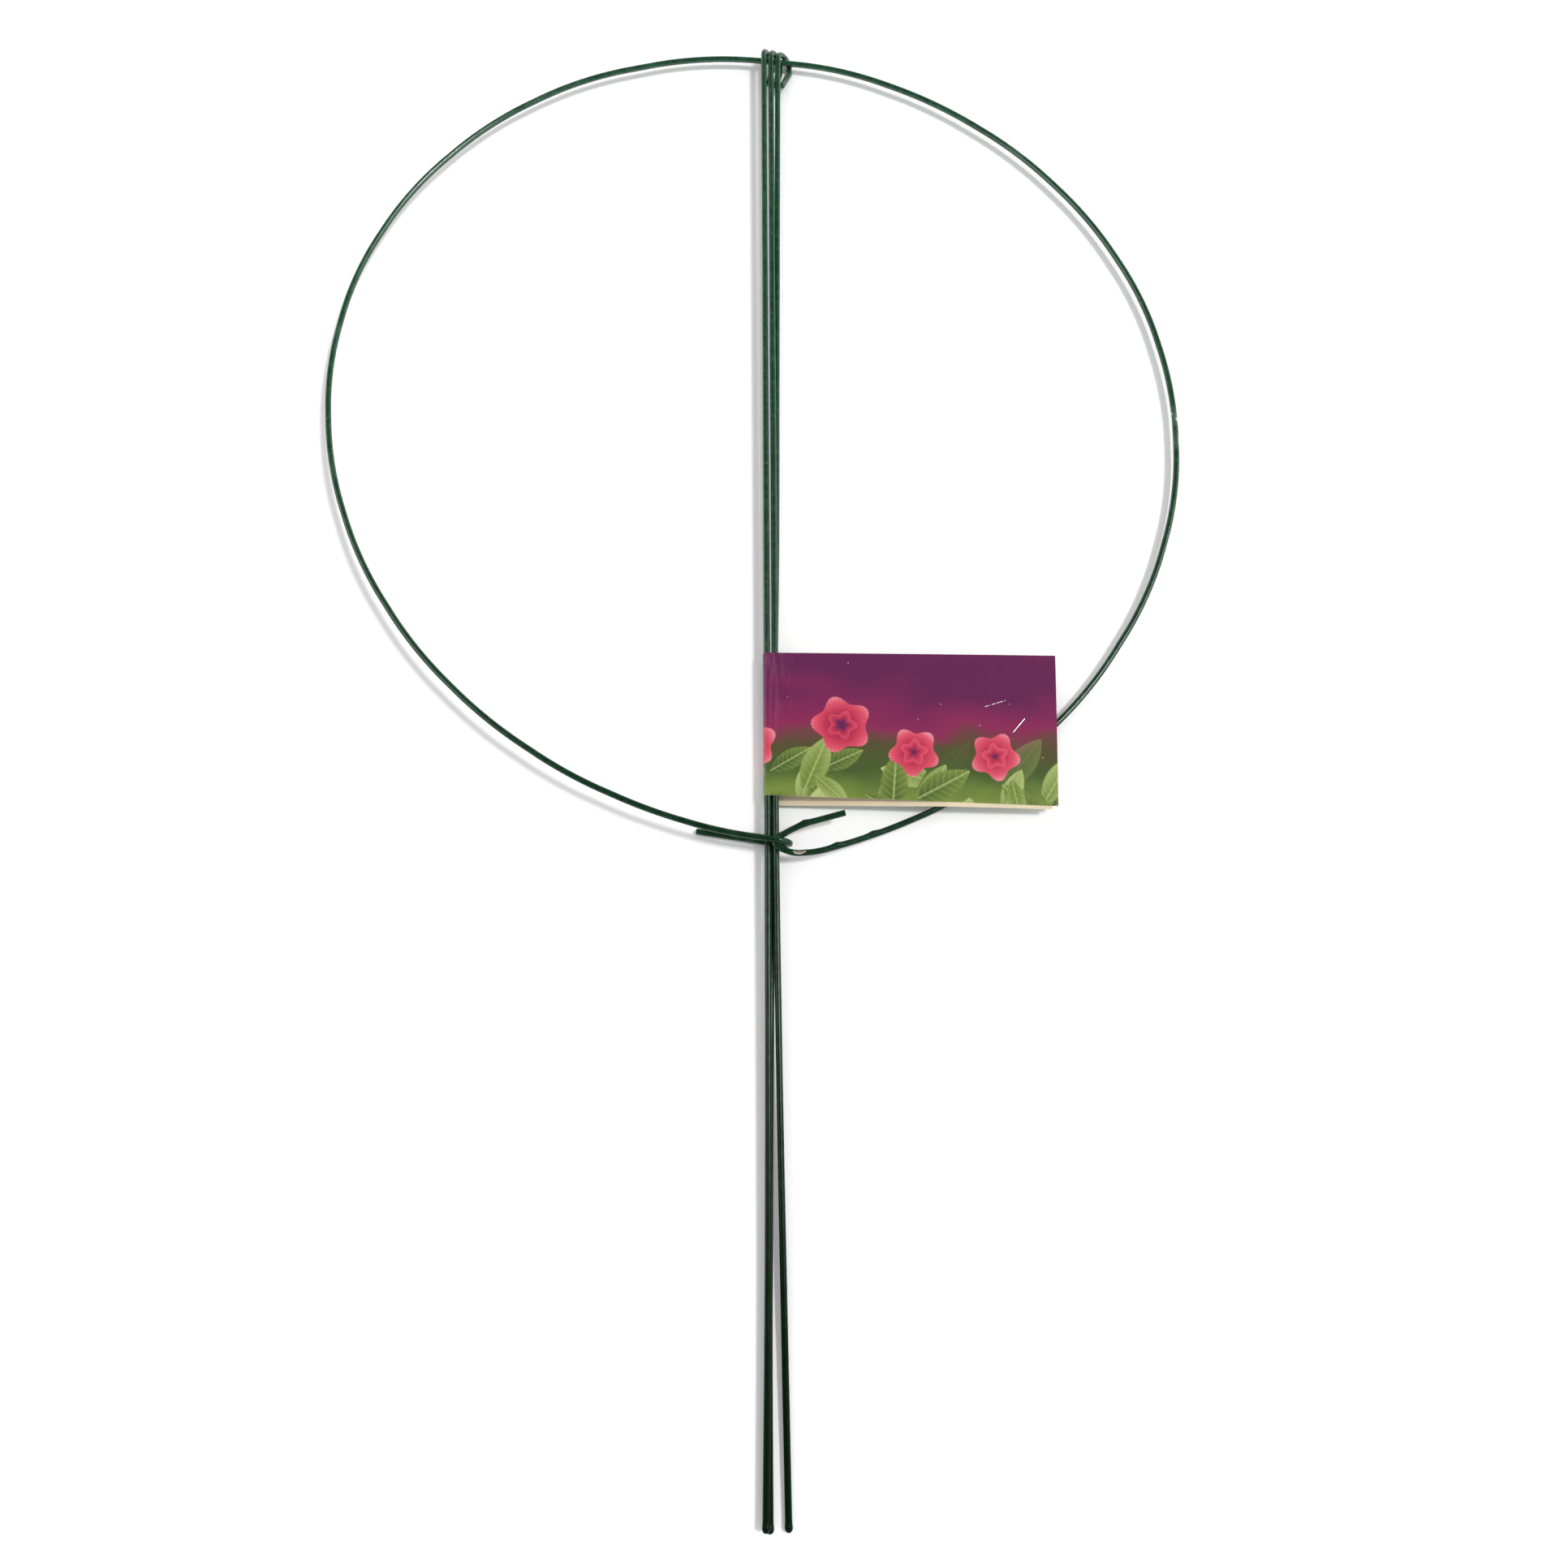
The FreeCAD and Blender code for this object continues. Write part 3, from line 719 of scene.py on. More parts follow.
@dataclass(frozen=True)
class SteelFinish:
    """Drawn steel wire: fine grain under a thin grey-brown skin."""

    bright: tuple = (0.330, 0.270, 0.215)
    dull: tuple = (0.160, 0.125, 0.095)
    roughness: float = 0.46

    def material(self) -> bpy.types.Material:
        """Fine grain of the drawing, with blotches of a thin skin."""
        bench = Bench.material("drawn_steel_finish")
        place = bench.place()
        blotch = bench.noise(place, 420.0, 4.0, 0.6)
        grain = bench.noise(place, 5200.0, 2.0)
        tone = bench.blended(blotch.rising(0.35, 0.70), self.bright, self.dull)
        return bench.shaded({
            "Base Color": tone,
            "Metallic": 0.6,
            "Roughness": self.roughness + blotch * 0.22,
            "Normal": bench.relief(grain * 0.6 + blotch * 0.4, 0.35, 0.00004),
        })


@dataclass(frozen=True)
class StapleFinish:
    """Bright plated staple wire."""

    plate: tuple = (0.760, 0.765, 0.775)
    shadow: tuple = (0.430, 0.430, 0.440)
    roughness: float = 0.20

    def material(self) -> bpy.types.Material:
        """Bright plate with fine scratches and duller bends."""
        bench = Bench.material("staple_finish")
        place = bench.place()
        scratch = bench.noise(place, 3600.0, 3.0, 0.6)
        cloud = bench.noise(place, 700.0)
        return bench.shaded({
            "Base Color": bench.blended(cloud.rising(0.45, 0.75) * 0.6, self.plate, self.shadow),
            "Metallic": 1.0,
            "Roughness": self.roughness + scratch * 0.16,
            "Normal": bench.relief(scratch, 0.25, 0.00003),
        })


@dataclass(frozen=True)
class PrintFinish:
    """Printed and varnished outside of the card: a dusk-coloured ground, small round blooms and leaves.

    A field of leaves has its pitch, the middle of its angles and its greatest height. Lengths are in
    millimetres, and the crease has its ends in the frame of the packed model.
    """

    width: float = 148.0
    height: float = 78.0
    plum: tuple = (0.118, 0.016, 0.078)
    magenta: tuple = (0.235, 0.020, 0.085)
    crimson: tuple = (0.480, 0.030, 0.075)
    rose: tuple = (0.640, 0.080, 0.130)
    blush: tuple = (0.760, 0.270, 0.330)
    shade: tuple = (0.085, 0.070, 0.030)
    leaf_deep: tuple = (0.058, 0.100, 0.024)
    leaf: tuple = (0.165, 0.235, 0.045)
    leaf_light: tuple = (0.420, 0.490, 0.180)
    board: tuple = (0.820, 0.780, 0.720)
    leaves_behind: tuple = ((26.0, 0.3, 17.0), (31.0, 2.1, 19.0), (35.0, 0.9, 23.0))
    leaves_before: tuple = (24.0, -0.7, 9.0)
    bloom_pitch: float = 41.0
    bloom_reach: tuple = (14.0, 44.0)
    crease_ends: tuple = ((118.5, -172.3), (128.6, -169.1))
    roughness: float = 0.18

    def leaves(self, bench: Bench, wide: Reading, high: Reading, pitch: float, lean: float, top: float,
               under: bpy.types.NodeSocket) -> bpy.types.NodeSocket:
        """Lays a field of leaves over a colour.

        A leaf turned by its own angle covers the places where |across| < 0.21 - 0.95 along^2, with a
        pale midrib and faint side veins.

        Args:
            bench: Bench of the material.
            wide: Place across the card, in millimetres.
            high: Place up the card, in millimetres.
            pitch: Millimetres from leaf to leaf.
            lean: Middle of the angles that the leaves are turned by.
            top: Greatest height of the middle of a leaf, in millimetres.
            under: Colour below the leaves.

        Returns:
            The colour with the leaves on it.
        """
        dx, dy, own, tint = bench.spots(wide / pitch + lean * 3.0, high / pitch + lean, 0.75)
        turn = (own - 0.5) * 2.2 + lean
        along = dx * turn.cosine() + dy * turn.sine()
        across = abs(dy * turn.cosine() - dx * turn.sine())
        edge = across / (0.21 - along * along * 0.95).at_least(0.001)
        cover = edge.falling(0.80, 1.0) * abs(along).falling(0.45, 0.47)
        cover = cover * (high - dy * pitch + tint * 14.0).falling(top + 6.0, top + 8.0)
        veins = ((along - across * 0.7) * 62.0).sine().rising(0.72, 1.0) * 0.22
        rib = across.falling(0.008, 0.022) * 0.55
        body = bench.ramp(tint * 0.62 + edge * 0.22 + along * 0.3 + 0.1, (
            (0.12, self.leaf_deep), (0.48, self.leaf), (0.88, self.leaf_light),
        ))
        body = bench.blended((veins + rib).at_most(0.7), body, self.leaf_light)
        return bench.blended(cover, under, body)

    def blooms(self, bench: Bench, wide: Reading, high: Reading, under: bpy.types.NodeSocket,
               cloud: Reading) -> bpy.types.NodeSocket:
        """Lays a field of round blooms over a colour.

        The rim of a bloom is at 0.345 + 0.05 cos(5 bearing) + 0.05 tint. A second ring of petals lies on
        the first, with its rim at 0.185 - 0.035 cos(5 bearing). Both are times the bloom's own size.

        Args:
            bench: Bench of the material.
            wide: Place across the card, in millimetres.
            high: Place up the card, in millimetres.
            under: Colour below the blooms.
            cloud: Slow noise that varies the petals.

        Returns:
            The colour with the blooms on it.
        """
        pitch = self.bloom_pitch
        dx, dy, own, tint = bench.spots(wide / pitch + 5.3, high / pitch + 0.42, 0.55)
        distance = (dx * dx + dy * dy).root()
        bearing = dy.bearing(dx) + own * (2.0 * math.pi)
        outer = (bearing * 5.0).cosine()
        inner = (bearing * 5.0 + math.pi).cosine()
        size = own * 0.34 + 0.72
        rim = distance / size / (0.345 + outer * 0.050 + tint * 0.05)
        heart = distance / size / (0.185 + inner * 0.035)
        middle = high - dy * pitch
        lowest, highest = self.bloom_reach
        shown = middle.rising(lowest, lowest + 0.5) * middle.falling(highest, highest + 0.5)
        rays = (bearing * 45.0).sine() * 0.035 + (cloud - 0.5) * 0.5
        petal = bench.ramp(rim * 0.92 + rays - (1.0 - outer) * 0.12 * rim, (
            (0.10, self.magenta), (0.42, self.crimson), (0.72, self.rose), (0.98, self.blush),
        ))
        petal = bench.blended(heart.falling(0.93, 1.0), petal, bench.ramp(heart + rays * 2.0, (
            (0.10, self.plum), (0.50, self.crimson), (0.95, self.rose),
        )))
        return bench.blended(rim.falling(0.94, 1.0) * shown, under, petal)

    def crease(self, bench: Bench, place: bpy.types.NodeSocket) -> Reading:
        """Closeness to the short crease: 1 within 0.10 mm of the line between its ends, 0 beyond 0.28 mm."""
        (x_start, y_start), (x_end, y_end) = self.crease_ends
        x, y, _ = bench.parts(place)
        x, y = x / MILLIMETRE - x_start, y / MILLIMETRE - y_start
        across, up = x_end - x_start, y_end - y_start
        share = ((x * across + y * up) / (across ** 2 + up ** 2)).at_least(0.0).at_most(1.0)
        aside, above = x - share * across, y - share * up
        return (aside * aside + above * above).root().falling(0.10, 0.28)

    def material(self) -> bpy.types.Material:
        """Ground down the card, leaves and blooms in bands, then a fine print grain, cracks and varnish."""
        bench = Bench.material("card_print_finish")
        across, up = bench.on_map()
        place = bench.place()
        wide, high = across * self.width, up * self.height
        cloud = bench.noise(bench.vector(wide * 0.028, high * 0.04, 0.0), 1.0, 3.0, 0.5, 0.3)
        drift = up + (cloud - 0.5) * 0.34
        colour = bench.ramp(drift, (
            (0.02, self.leaf), (0.20, self.leaf_deep), (0.36, self.shade), (0.50, self.magenta),
            (0.72, self.plum),
        ))
        glow = bench.noise(bench.vector(wide * 0.017, high * 0.03, 4.0), 1.0, 1.0)
        colour = bench.blended(glow.rising(0.50, 0.72) * 0.55 * up.rising(0.45, 0.7), colour, self.magenta)
        for field_of_leaves in self.leaves_behind:
            colour = self.leaves(bench, wide, high, *field_of_leaves, colour)
        colour = self.blooms(bench, wide, high, colour, cloud)
        colour = self.leaves(bench, wide, high, *self.leaves_before, colour)
        screen = bench.noise(place, 5200.0, 1.0)
        colour = bench.blended((screen - 0.5).at_least(0.0) * 0.10, colour, self.board)
        fleck_distance, fleck_own = bench.cells(place, 260.0)
        fleck = fleck_distance.falling(0.05, 0.09) * fleck_own.rising(0.94, 0.95)
        fold = bench.mask(Mask.FOLD)
        fibre = bench.noise(place, 2100.0, 4.0, 0.65)
        crease = self.crease(bench, place) * bench.noise(place, 1100.0, 2.0).rising(0.40, 0.50)
        streak = bench.noise(bench.vector(wide * 0.45, high * 0.05, 1.0), 1.0, 2.0)
        ruffled = across.falling(0.03, 0.13) * up.rising(0.35, 0.55)
        # Painted highlight: pale blush streaks on the ruffles near the fold, along the raised relief.
        colour = bench.blended(ruffled * streak.rising(0.45, 0.70) * 0.09, colour, self.blush)
        cracked = (fold * 0.45 * fibre.rising(0.50, 0.62) + crease).at_most(0.9)
        colour = bench.blended((cracked + fleck * 0.6).at_most(0.9), colour, self.board)
        height = fibre * 0.08 + screen * 0.03 + streak * ruffled * 6.0
        return bench.shaded({
            "Base Color": colour,
            "Roughness": self.roughness + fibre * 0.08 + cracked * 0.25,
            "Normal": bench.relief(height, 0.6, 0.00005),
            "Specular IOR Level": 0.25,
        })


@dataclass(frozen=True)
class BoardFinish:
    """Bare inside of the card: cream, with fibres and faint clouding."""

    cream: tuple = (0.735, 0.635, 0.455)
    shade: tuple = (0.610, 0.500, 0.340)
    roughness: float = 0.82

    def material(self) -> bpy.types.Material:
        """Cream board whose fibres run across it."""
        bench = Bench.material("card_board_finish")
        place = bench.place()
        x, y, _ = bench.parts(place)
        fibre = bench.noise(bench.vector(x * 900.0, y * 3400.0, 0.0), 1.0, 4.0, 0.6)
        cloud = bench.noise(place, 90.0, 3.0)
        darker = (fibre * 0.5 + cloud * 0.5).rising(0.35, 0.72) * 0.7
        return bench.shaded({
            "Base Color": bench.blended(darker, self.cream, self.shade),
            "Roughness": self.roughness + fibre * 0.12,
            "Normal": bench.relief(fibre, 0.4, 0.00006),
            "Specular IOR Level": 0.25,
        })


@dataclass(frozen=True)
class CutEdgeFinish:
    """Cut edge of the board: pale layers."""

    pale: tuple = (0.860, 0.830, 0.760)
    grey: tuple = (0.560, 0.520, 0.450)

    def material(self) -> bpy.types.Material:
        """Pale edge with darker layers of fibre."""
        bench = Bench.material("card_edge_finish")
        layers = bench.noise(bench.place(), 3000.0, 3.0, 0.6)
        return bench.shaded({
            "Base Color": bench.blended(layers.rising(0.40, 0.75) * 0.8, self.pale, self.grey),
            "Roughness": 0.78 + layers * 0.15,
            "Normal": bench.relief(layers, 0.4, 0.00005),
        })


# Pieces.


@dataclass(frozen=True)
class WireStock:
    """The wire that everything but the staple is made of."""

    core_diameter: float = 2.6
    coating_thickness: float = 0.3
    wire_gap: float = 0.3

    @property
    def radius(self) -> float:
        """Radius of the coated wire."""
        return self.core_diameter / 2.0 + self.coating_thickness

    @property
    def pitch(self) -> float:
        """Distance between the axes of two wires that lie on each other."""
        return 2.0 * self.radius + self.wire_gap

    def height(self, lift_share: float) -> float:
        """Height of a wire's axis: a share of 0 lies on the ground and 1 on the wire there."""
        return self.radius + lift_share * self.pitch


@dataclass(frozen=True)
class Run:
    """A run of coating, which grows the skin by growth * exp(-2 |a|^1.6) * (upward share).

    Here a is the place along the run over half its length. The growth ends between the near and the
    far reach from the run's line, so it stays on its own arm of the hook.
    """

    middle: Array
    heading: Array
    upward: Array
    growth: float
    length: float
    near_reach: float = 3.0
    far_reach: float = 6.0

    def lump(self, points: Array, outward: Array) -> Array:
        """Growth of the radius at these points of the skin."""
        half = self.length / 2.0
        along = (points - self.middle) @ self.heading / half
        aside = np.linalg.norm(points - self.middle - along[..., None] * self.heading * half, axis=-1)
        facing = np.clip(0.15 + 0.85 * (outward @ self.upward), 0.0, 1.0)
        close = eased(-aside, -self.far_reach, -self.near_reach)
        return self.growth * np.exp(-2.0 * np.abs(along) ** 1.6) * facing * close


@dataclass(frozen=True)
class Scrape:
    """Coating scraped down to the core: half an ellipse with one straight side and a ragged rim."""

    middle: Array
    course: Array
    lean: Array
    half_length: float = 2.9
    height: float = 1.55
    foot: float = 0.55
    depth: float = 0.46
    reach: float = 6.0

    def shares(self, points: Array, outward: Array) -> tuple[Array, Array]:
        """Share of the coating that is gone at these points of the skin, and how torn it is there."""
        away = points - self.middle
        along, sideways = away @ self.course, away @ np.cross(self.lean, self.course)
        ragged = 0.06 * np.sin(along * 5.3) + 0.04 * np.sin(along * 11.0 + sideways * 6.0)
        above = np.maximum(sideways + self.foot, 0.0) / self.height
        below = np.maximum(-self.foot - sideways, 0.0) * 2.0
        edge = np.sqrt((along / self.half_length) ** 2 + above ** 2) + below + ragged
        on_top = (outward @ self.lean > 0.0) & (np.linalg.norm(away, axis=-1) < self.reach)
        gone = np.where(on_top, 1.0 - eased(edge, 0.86, 0.98), 0.0)
        torn = np.where(on_top, (1.0 - eased(edge, 1.02, 1.16)) * eased(sideways, -0.5, 0.2), 0.0)
        return gone, torn


@dataclass
class Ring:
    """The open ring with its two hooked ends.

    A bend is the bearing of a corner in degrees, its reach over the radius, and its lift share. A
    corner of the right hook is its place from the link over the width of the mouth, and its lift share.
    A run of coating has the number of the hook's corner before it and the share of the way to the next.
    Worn places, pinches and nicks have their x, y, z, spread and amount.
    """

    stock: WireStock = field(default_factory=WireStock)
    radius: float = 228.5
    link_reach: float = 242.4
    link_side: float = 13.4
    return_length: float = 47.0
    short_length: float = 35.0
    mouth_width: float = 13.2
    nose_radius: float = 2.4
    bundle_share: float = 1.95
    bundle_side: float = 5.7
    arc_share: float = 0.45
    hairpin_rises: tuple = (0.072, -0.044)
    hairpin_arc_share: float = 0.98
    back_arm_slope: float = 0.157
    front_arm_slope: float = 0.143
    front_arm_share: float = 0.72
    free_arm_slope: float = 0.276
    left_end_rounding: float = 0.75
    right_end_rounding: float = 0.45
    around: int = 28
    spacing: float = 1.15
    left_hook_spacing: float = 0.8
    right_hook_spacing: float = 0.55
    nose_spacing: float = 0.24
    set_back: float = 0.04
    ripple_share: float = 0.09
    seed: float = 0.7
    run_places: tuple = ((0, 0.5), (1, 0.5), (6, 0.1))
    run_growth: float = 0.60
    run_length: float = 7.0
    scrape_share: float = 0.72
    scrape_lean: tuple = (0.0, 0.33, 0.945)
    bends: tuple = (
        (258, 1.0118, 3.80), (247, 0.9877, 3.62), (234, 0.9694, 3.40), (220, 0.9621, 3.17),
        (205, 0.9668, 2.92), (190, 0.9796, 2.67), (175, 0.997, 2.42), (160, 1.0143, 2.17),
        (145, 1.023, 1.92), (130, 1.0235, 1.67), (115, 1.0137, 1.42), (97, 0.9991, 1.0),
        (77, 0.9758, 1.0), (62, 0.9688, 1.0), (47, 0.9655, 1.0), (32, 0.9696, 1.0), (17, 0.9812, 1.0),
        (2, 0.9918, 1.0), (-13, 1.0058, 1.0), (-28, 1.0171, 1.0), (-43, 1.0284, 1.0), (-56, 1.046, 1.1),
        (-67, 1.059, 1.4),
    )
    right_hook: tuple = (
        (4.29, 0.59, 1.70), (3.0, 0.11, 2.05), (1.56, -0.34, 2.60), (0.614, -0.417, 2.80),
        (-0.015, -0.114, 2.95), (-0.015, 0.136, 2.95), (0.902, 0.654, 2.95),
    )
    worn_places: tuple = (
        (226.8, -8.0, 5.1, 4.5, 0.8), (226.0, -22.0, 5.1, 4.0, 0.5), (-229.0, 41.0, 13.0, 5.0, 0.35),
        (-222.0, -40.0, 13.5, 6.0, 0.30), (-120.0, 190.0, 11.0, 7.0, 0.25), (150.0, 160.0, 5.1, 8.0, 0.25),
    )
    pinches: tuple = ((228.4, -9.0, 5.1, 3.0, 0.16), (227.9, -21.0, 5.1, 2.6, 0.16))
    nicks: tuple = ((225.4, -5.4, 5.8, 0.9, 0.8), (228.2, -9.0, 6.0, 0.9, 0.8))

    @property
    def link(self) -> Array:
        """Place where the two ends hook together, on the ground."""
        return np.array([self.link_side, -self.link_reach, 0.0])

    def bow_corners(self) -> Array:
        """Corners of the bow, each set out by 1 / cos(half the larger step beside it)."""
        rows = np.array(self.bends)
        steps = np.abs(np.diff(rows[:, 0]))
        wider = np.maximum(np.concatenate(([0.0], steps)), np.concatenate((steps, [0.0])))
        reach = self.radius * rows[:, 1] / np.cos(np.radians(wider / 2.0))
        turn = np.radians(rows[:, 0])
        levels = self.stock.radius + rows[:, 2] * self.stock.pitch
        return np.stack((reach * np.cos(turn), reach * np.sin(turn), levels), axis=1)

    def hairpin_radius(self) -> float:
        """Half the height of the left hook."""
        return (self.stock.height(self.bundle_share + 2.0) - self.stock.height(0.0)) / 2.0

    def left_hook_corners(self) -> Array:
        """Corners of the left hook, from the end of its free arm over its nose."""
        radius = self.hairpin_radius()
        side = self.link[0] + radius
        low_rise, high_rise = (self.link[1] + rise * radius for rise in self.hairpin_rises)
        low = np.array([side, low_rise, self.stock.height(0.0)])
        high = np.array([side, high_rise, self.stock.height(self.bundle_share + 2.0)])
        end = low + unit(np.array([-1.0, self.back_arm_slope, 0.0])) * self.return_length
        arm = unit(np.array([-1.0, self.front_arm_slope, 0.0]))
        return np.stack((end, low, high, high + arm * (self.front_arm_share * self.return_length)))

    def right_hook_corners(self) -> Array:
        """Corners of the right hook, from the bow round its nose to the end of its free arm."""
        rows = np.array(self.right_hook)
        corners = np.stack((
            self.link[0] + rows[:, 0] * self.mouth_width, self.link[1] + rows[:, 1] * self.mouth_width,
            self.stock.radius + rows[:, 2] * self.stock.pitch,
        ), axis=1)
        run = self.short_length - rows[-1, 0] * self.mouth_width
        end = corners[-1] + unit(np.array([1.0, self.free_arm_slope, 0.0])) * run
        return np.concatenate((corners, end[None]))

    def line(self) -> tuple[BentLine, int]:
        """Line of the whole ring and the number of the first corner of its right hook."""
        left, bow, right = self.left_hook_corners(), self.bow_corners(), self.right_hook_corners()
        corners = np.concatenate((left, bow, right))
        first = len(left) + len(bow)
        radii = gentle_radii(corners, self.arc_share)
        radii[1:3] = self.hairpin_radius() * self.hairpin_arc_share
        radii[first + 4:first + 6] = self.nose_radius
        return BentLine(corners, radii), first

    def runs(self, hook: Array) -> list[Run]:
        """Runs of coating on the right hook, from its corners."""
        made = []
        for number, share in self.run_places:
            step = hook[number + 1] - hook[number]
            aside = unit(np.array([-step[1], step[0], 0.0]))
            upward = aside * math.copysign(1.0, aside[1])
            middle = hook[number] + step * share
            made.append(Run(middle, unit(step), upward, self.run_growth, self.run_length))
        return made

    def shaping(self, hook: Array) -> Shaping:
        """Growth of the coating and its masks: the ripple, the runs, the scrape, pinches and nicks.

        The skin starts a little inside the coated wire. The ripple takes up to a tenth of the coating
        away, and the scrape goes below the core, whose steel shows there.

        Args:
            hook: Corners of the right hook.

        Returns:
            The shaping function.
        """
        thickness = self.stock.coating_thickness
        runs = self.runs(hook)
        step = hook[3] - hook[2]
        scrape = Scrape(hook[2] + step * self.scrape_share, unit(step), unit(np.array(self.scrape_lean)))

        def shape(points: Array, outward: Array, stations: Array,
                  angles: Array) -> tuple[Array, dict[Mask, Array]]:
            """Growth and masks at these points."""
            uneven = self.ripple_share * thickness * ripple(stations, angles, self.seed)
            growth = -self.set_back - uneven
            for run in runs:
                growth = growth + run.lump(points, outward)
            gone, torn = scrape.shares(points, outward)
            growth = growth * (1.0 - gone) - scrape.depth * gone - worn_away(points, self.pinches)
            for nick in self.nicks:
                torn = np.maximum(torn, worn_away(points, (nick,)))
            worn = np.clip(worn_away(points, self.worn_places), 0.0, 1.0)
            return growth, {Mask.WORN: worn, Mask.BARE: torn}

        return shape

    def build(self, coating: bpy.types.Material) -> bpy.types.Object:
        """Makes the coating of the ring as one skin."""
        line, first = self.line()
        start = WireEnd.cut(self.stock.radius, self.left_end_rounding)
        end = WireEnd.cut(self.stock.radius, self.right_end_rounding)
        corners = shortened(line.corners, start.length, end.length)
        spacings = np.full(len(corners) - 1, self.spacing)
        spacings[:4] = self.left_hook_spacing
        spacings[first - 1:] = self.right_hook_spacing
        spacings[first + 2:first + 4] = self.nose_spacing
        course = BentLine(corners, line.radii).sampled(spacings)
        skin = WireSkin(course, self.stock.radius, self.around, start, end)
        mesh = skin.surface(self.shaping(line.corners[first:])).mesh("ring_coat")
        return placed("ring_coat", mesh, Body.RING, [coating], ["ring_coating"])

    def top_line(self) -> tuple[Array, Array]:
        """Ends of the straight top of the ring, on which the eyes hang."""
        bow = self.bow_corners()
        left = bow[np.argmax(np.where(bow[:, 0] < self.bundle_side, bow[:, 1], -np.inf))]
        right = bow[np.argmax(np.where(bow[:, 0] > self.bundle_side, bow[:, 1], -np.inf))]
        return left, right


@dataclass
class Leg:
    """A leg: its eye over the ring, its shank under the hooks and its tip with a drop of coating.

    Its route is a row of stations, 0 at the ring, 1 at the hooks and 2 at the tip, each with the side
    share from the bundle's line and the lift share there, which is None for a tip on the ground. The
    wear of its arch has its x, y, z from the arch, its spread and its amount.
    """

    body: Body
    eye_turn: float
    close_share: float
    side_share: float
    route: tuple
    seed: float
    ring: Ring = field(default_factory=Ring)
    length: float = 771.4
    eye_width: float = 10.4
    eye_slack: float = 0.4
    eye_back_run: float = 3.4
    eye_tail_run: float = 13.2
    eye_bend_share: float = 0.48
    tail_bend_radius: float = 4.0
    bundle_shift: float = 1.07
    bead_diameter: float = 3.65
    bead_length: float = 4.0
    bead_set: float = 0.8
    neck: float = 2.6
    tail_rounding: float = 0.9
    around: int = 24
    spacing: float = 1.3
    eye_spacing: float = 0.5
    ripple_share: float = 0.10
    arch_wear: tuple = (0.0, 1.0, 2.0, 5.0, 0.35)

    @property
    def stock(self) -> WireStock:
        """Wire of the leg."""
        return self.ring.stock

    def bundle_side(self, station: float) -> float:
        """Sideways place of the bundle's line, where station 0 is the ring and 1 the hooks."""
        at_ring, at_link = self.ring.bundle_side, self.ring.link[0] - self.bundle_shift * self.stock.pitch
        return at_ring + (at_link - at_ring) * min(station, 1.0)

    def corners(self) -> Array:
        """Corners of the leg, from the end of its tail over the ring and down to its tip."""
        stock, ring = self.stock, self.ring
        turn = math.radians(self.eye_turn)
        across = np.array([math.sin(turn), 0.0, -math.cos(turn)])
        side = self.bundle_side(0.0) + self.side_share * stock.pitch
        shank = np.array([side, 0.0, stock.height(0.0) + self.eye_width * math.cos(turn)])
        left, right = ring.top_line()
        middle = shank[0] + across[0] * self.eye_width / 2.0
        ring_at_eye = left[1] + (right[1] - left[1]) * (middle - left[0]) / (right[0] - left[0])
        arch = ring_at_eye + stock.pitch + self.eye_slack
        back = arch - self.eye_width / 2.0 - self.eye_back_run
        tail = back - self.eye_tail_run
        tip = ring_at_eye - self.length + self.bead_length / 2.0 - self.bead_set
        forward = np.array([0.0, 1.0, 0.0])
        points = [
            shank + across * (self.eye_width * self.close_share) + forward * tail,
            shank + across * self.eye_width + forward * back,
            shank + across * self.eye_width + forward * arch,
            shank + forward * arch,
        ]
        hooks = ring.link[1]
        for station, side_share, lift_share in self.route:
            if station <= 1.0:
                along = ring_at_eye + (hooks - ring_at_eye) * station
            else:
                along = hooks + (tip - hooks) * (station - 1.0)
            level = stock.height(self.tip_share if lift_share is None else lift_share)
            points.append(np.array([self.bundle_side(station) + side_share * stock.pitch, along, level]))
        return np.stack(points)

    @property
    def tip_share(self) -> float:
        """Lift share of a tip whose drop lies on the ground."""
        return (self.bead_diameter / 2.0 - self.stock.radius) / self.stock.pitch

    def line(self) -> BentLine:
        """Line of the leg."""
        corners = self.corners()
        radii = gentle_radii(corners, self.ring.arc_share)
        radii[1] = self.tail_bend_radius
        radii[2:4] = self.eye_width * self.eye_bend_share
        return BentLine(corners, radii)

    def place_on(self, along: float) -> Array:
        """Place on the shank's corners at this distance from the middle of the ring."""
        corners = self.corners()[3:][::-1]
        return np.array([np.interp(along, corners[:, 1], corners[:, axis]) for axis in range(3)])

    def shaping(self) -> Shaping:
        """Ripple of the coating, and paler rubbing where the arch bears on the ring."""
        x, y, z, spread, amount = self.arch_wear
        arch = self.corners()[2:4].mean(axis=0) + np.array([x, y, z])
        thickness = self.stock.coating_thickness

        def shape(points: Array, outward: Array, stations: Array,
                  angles: Array) -> tuple[Array, dict[Mask, Array]]:
            """Growth and masks at these points."""
            growth = -self.ripple_share * thickness * ripple(stations, angles, self.seed)
            worn = amount * near_to(points, arch, spread)
            return growth, {Mask.WORN: worn, Mask.BARE: np.zeros_like(worn)}

        return shape

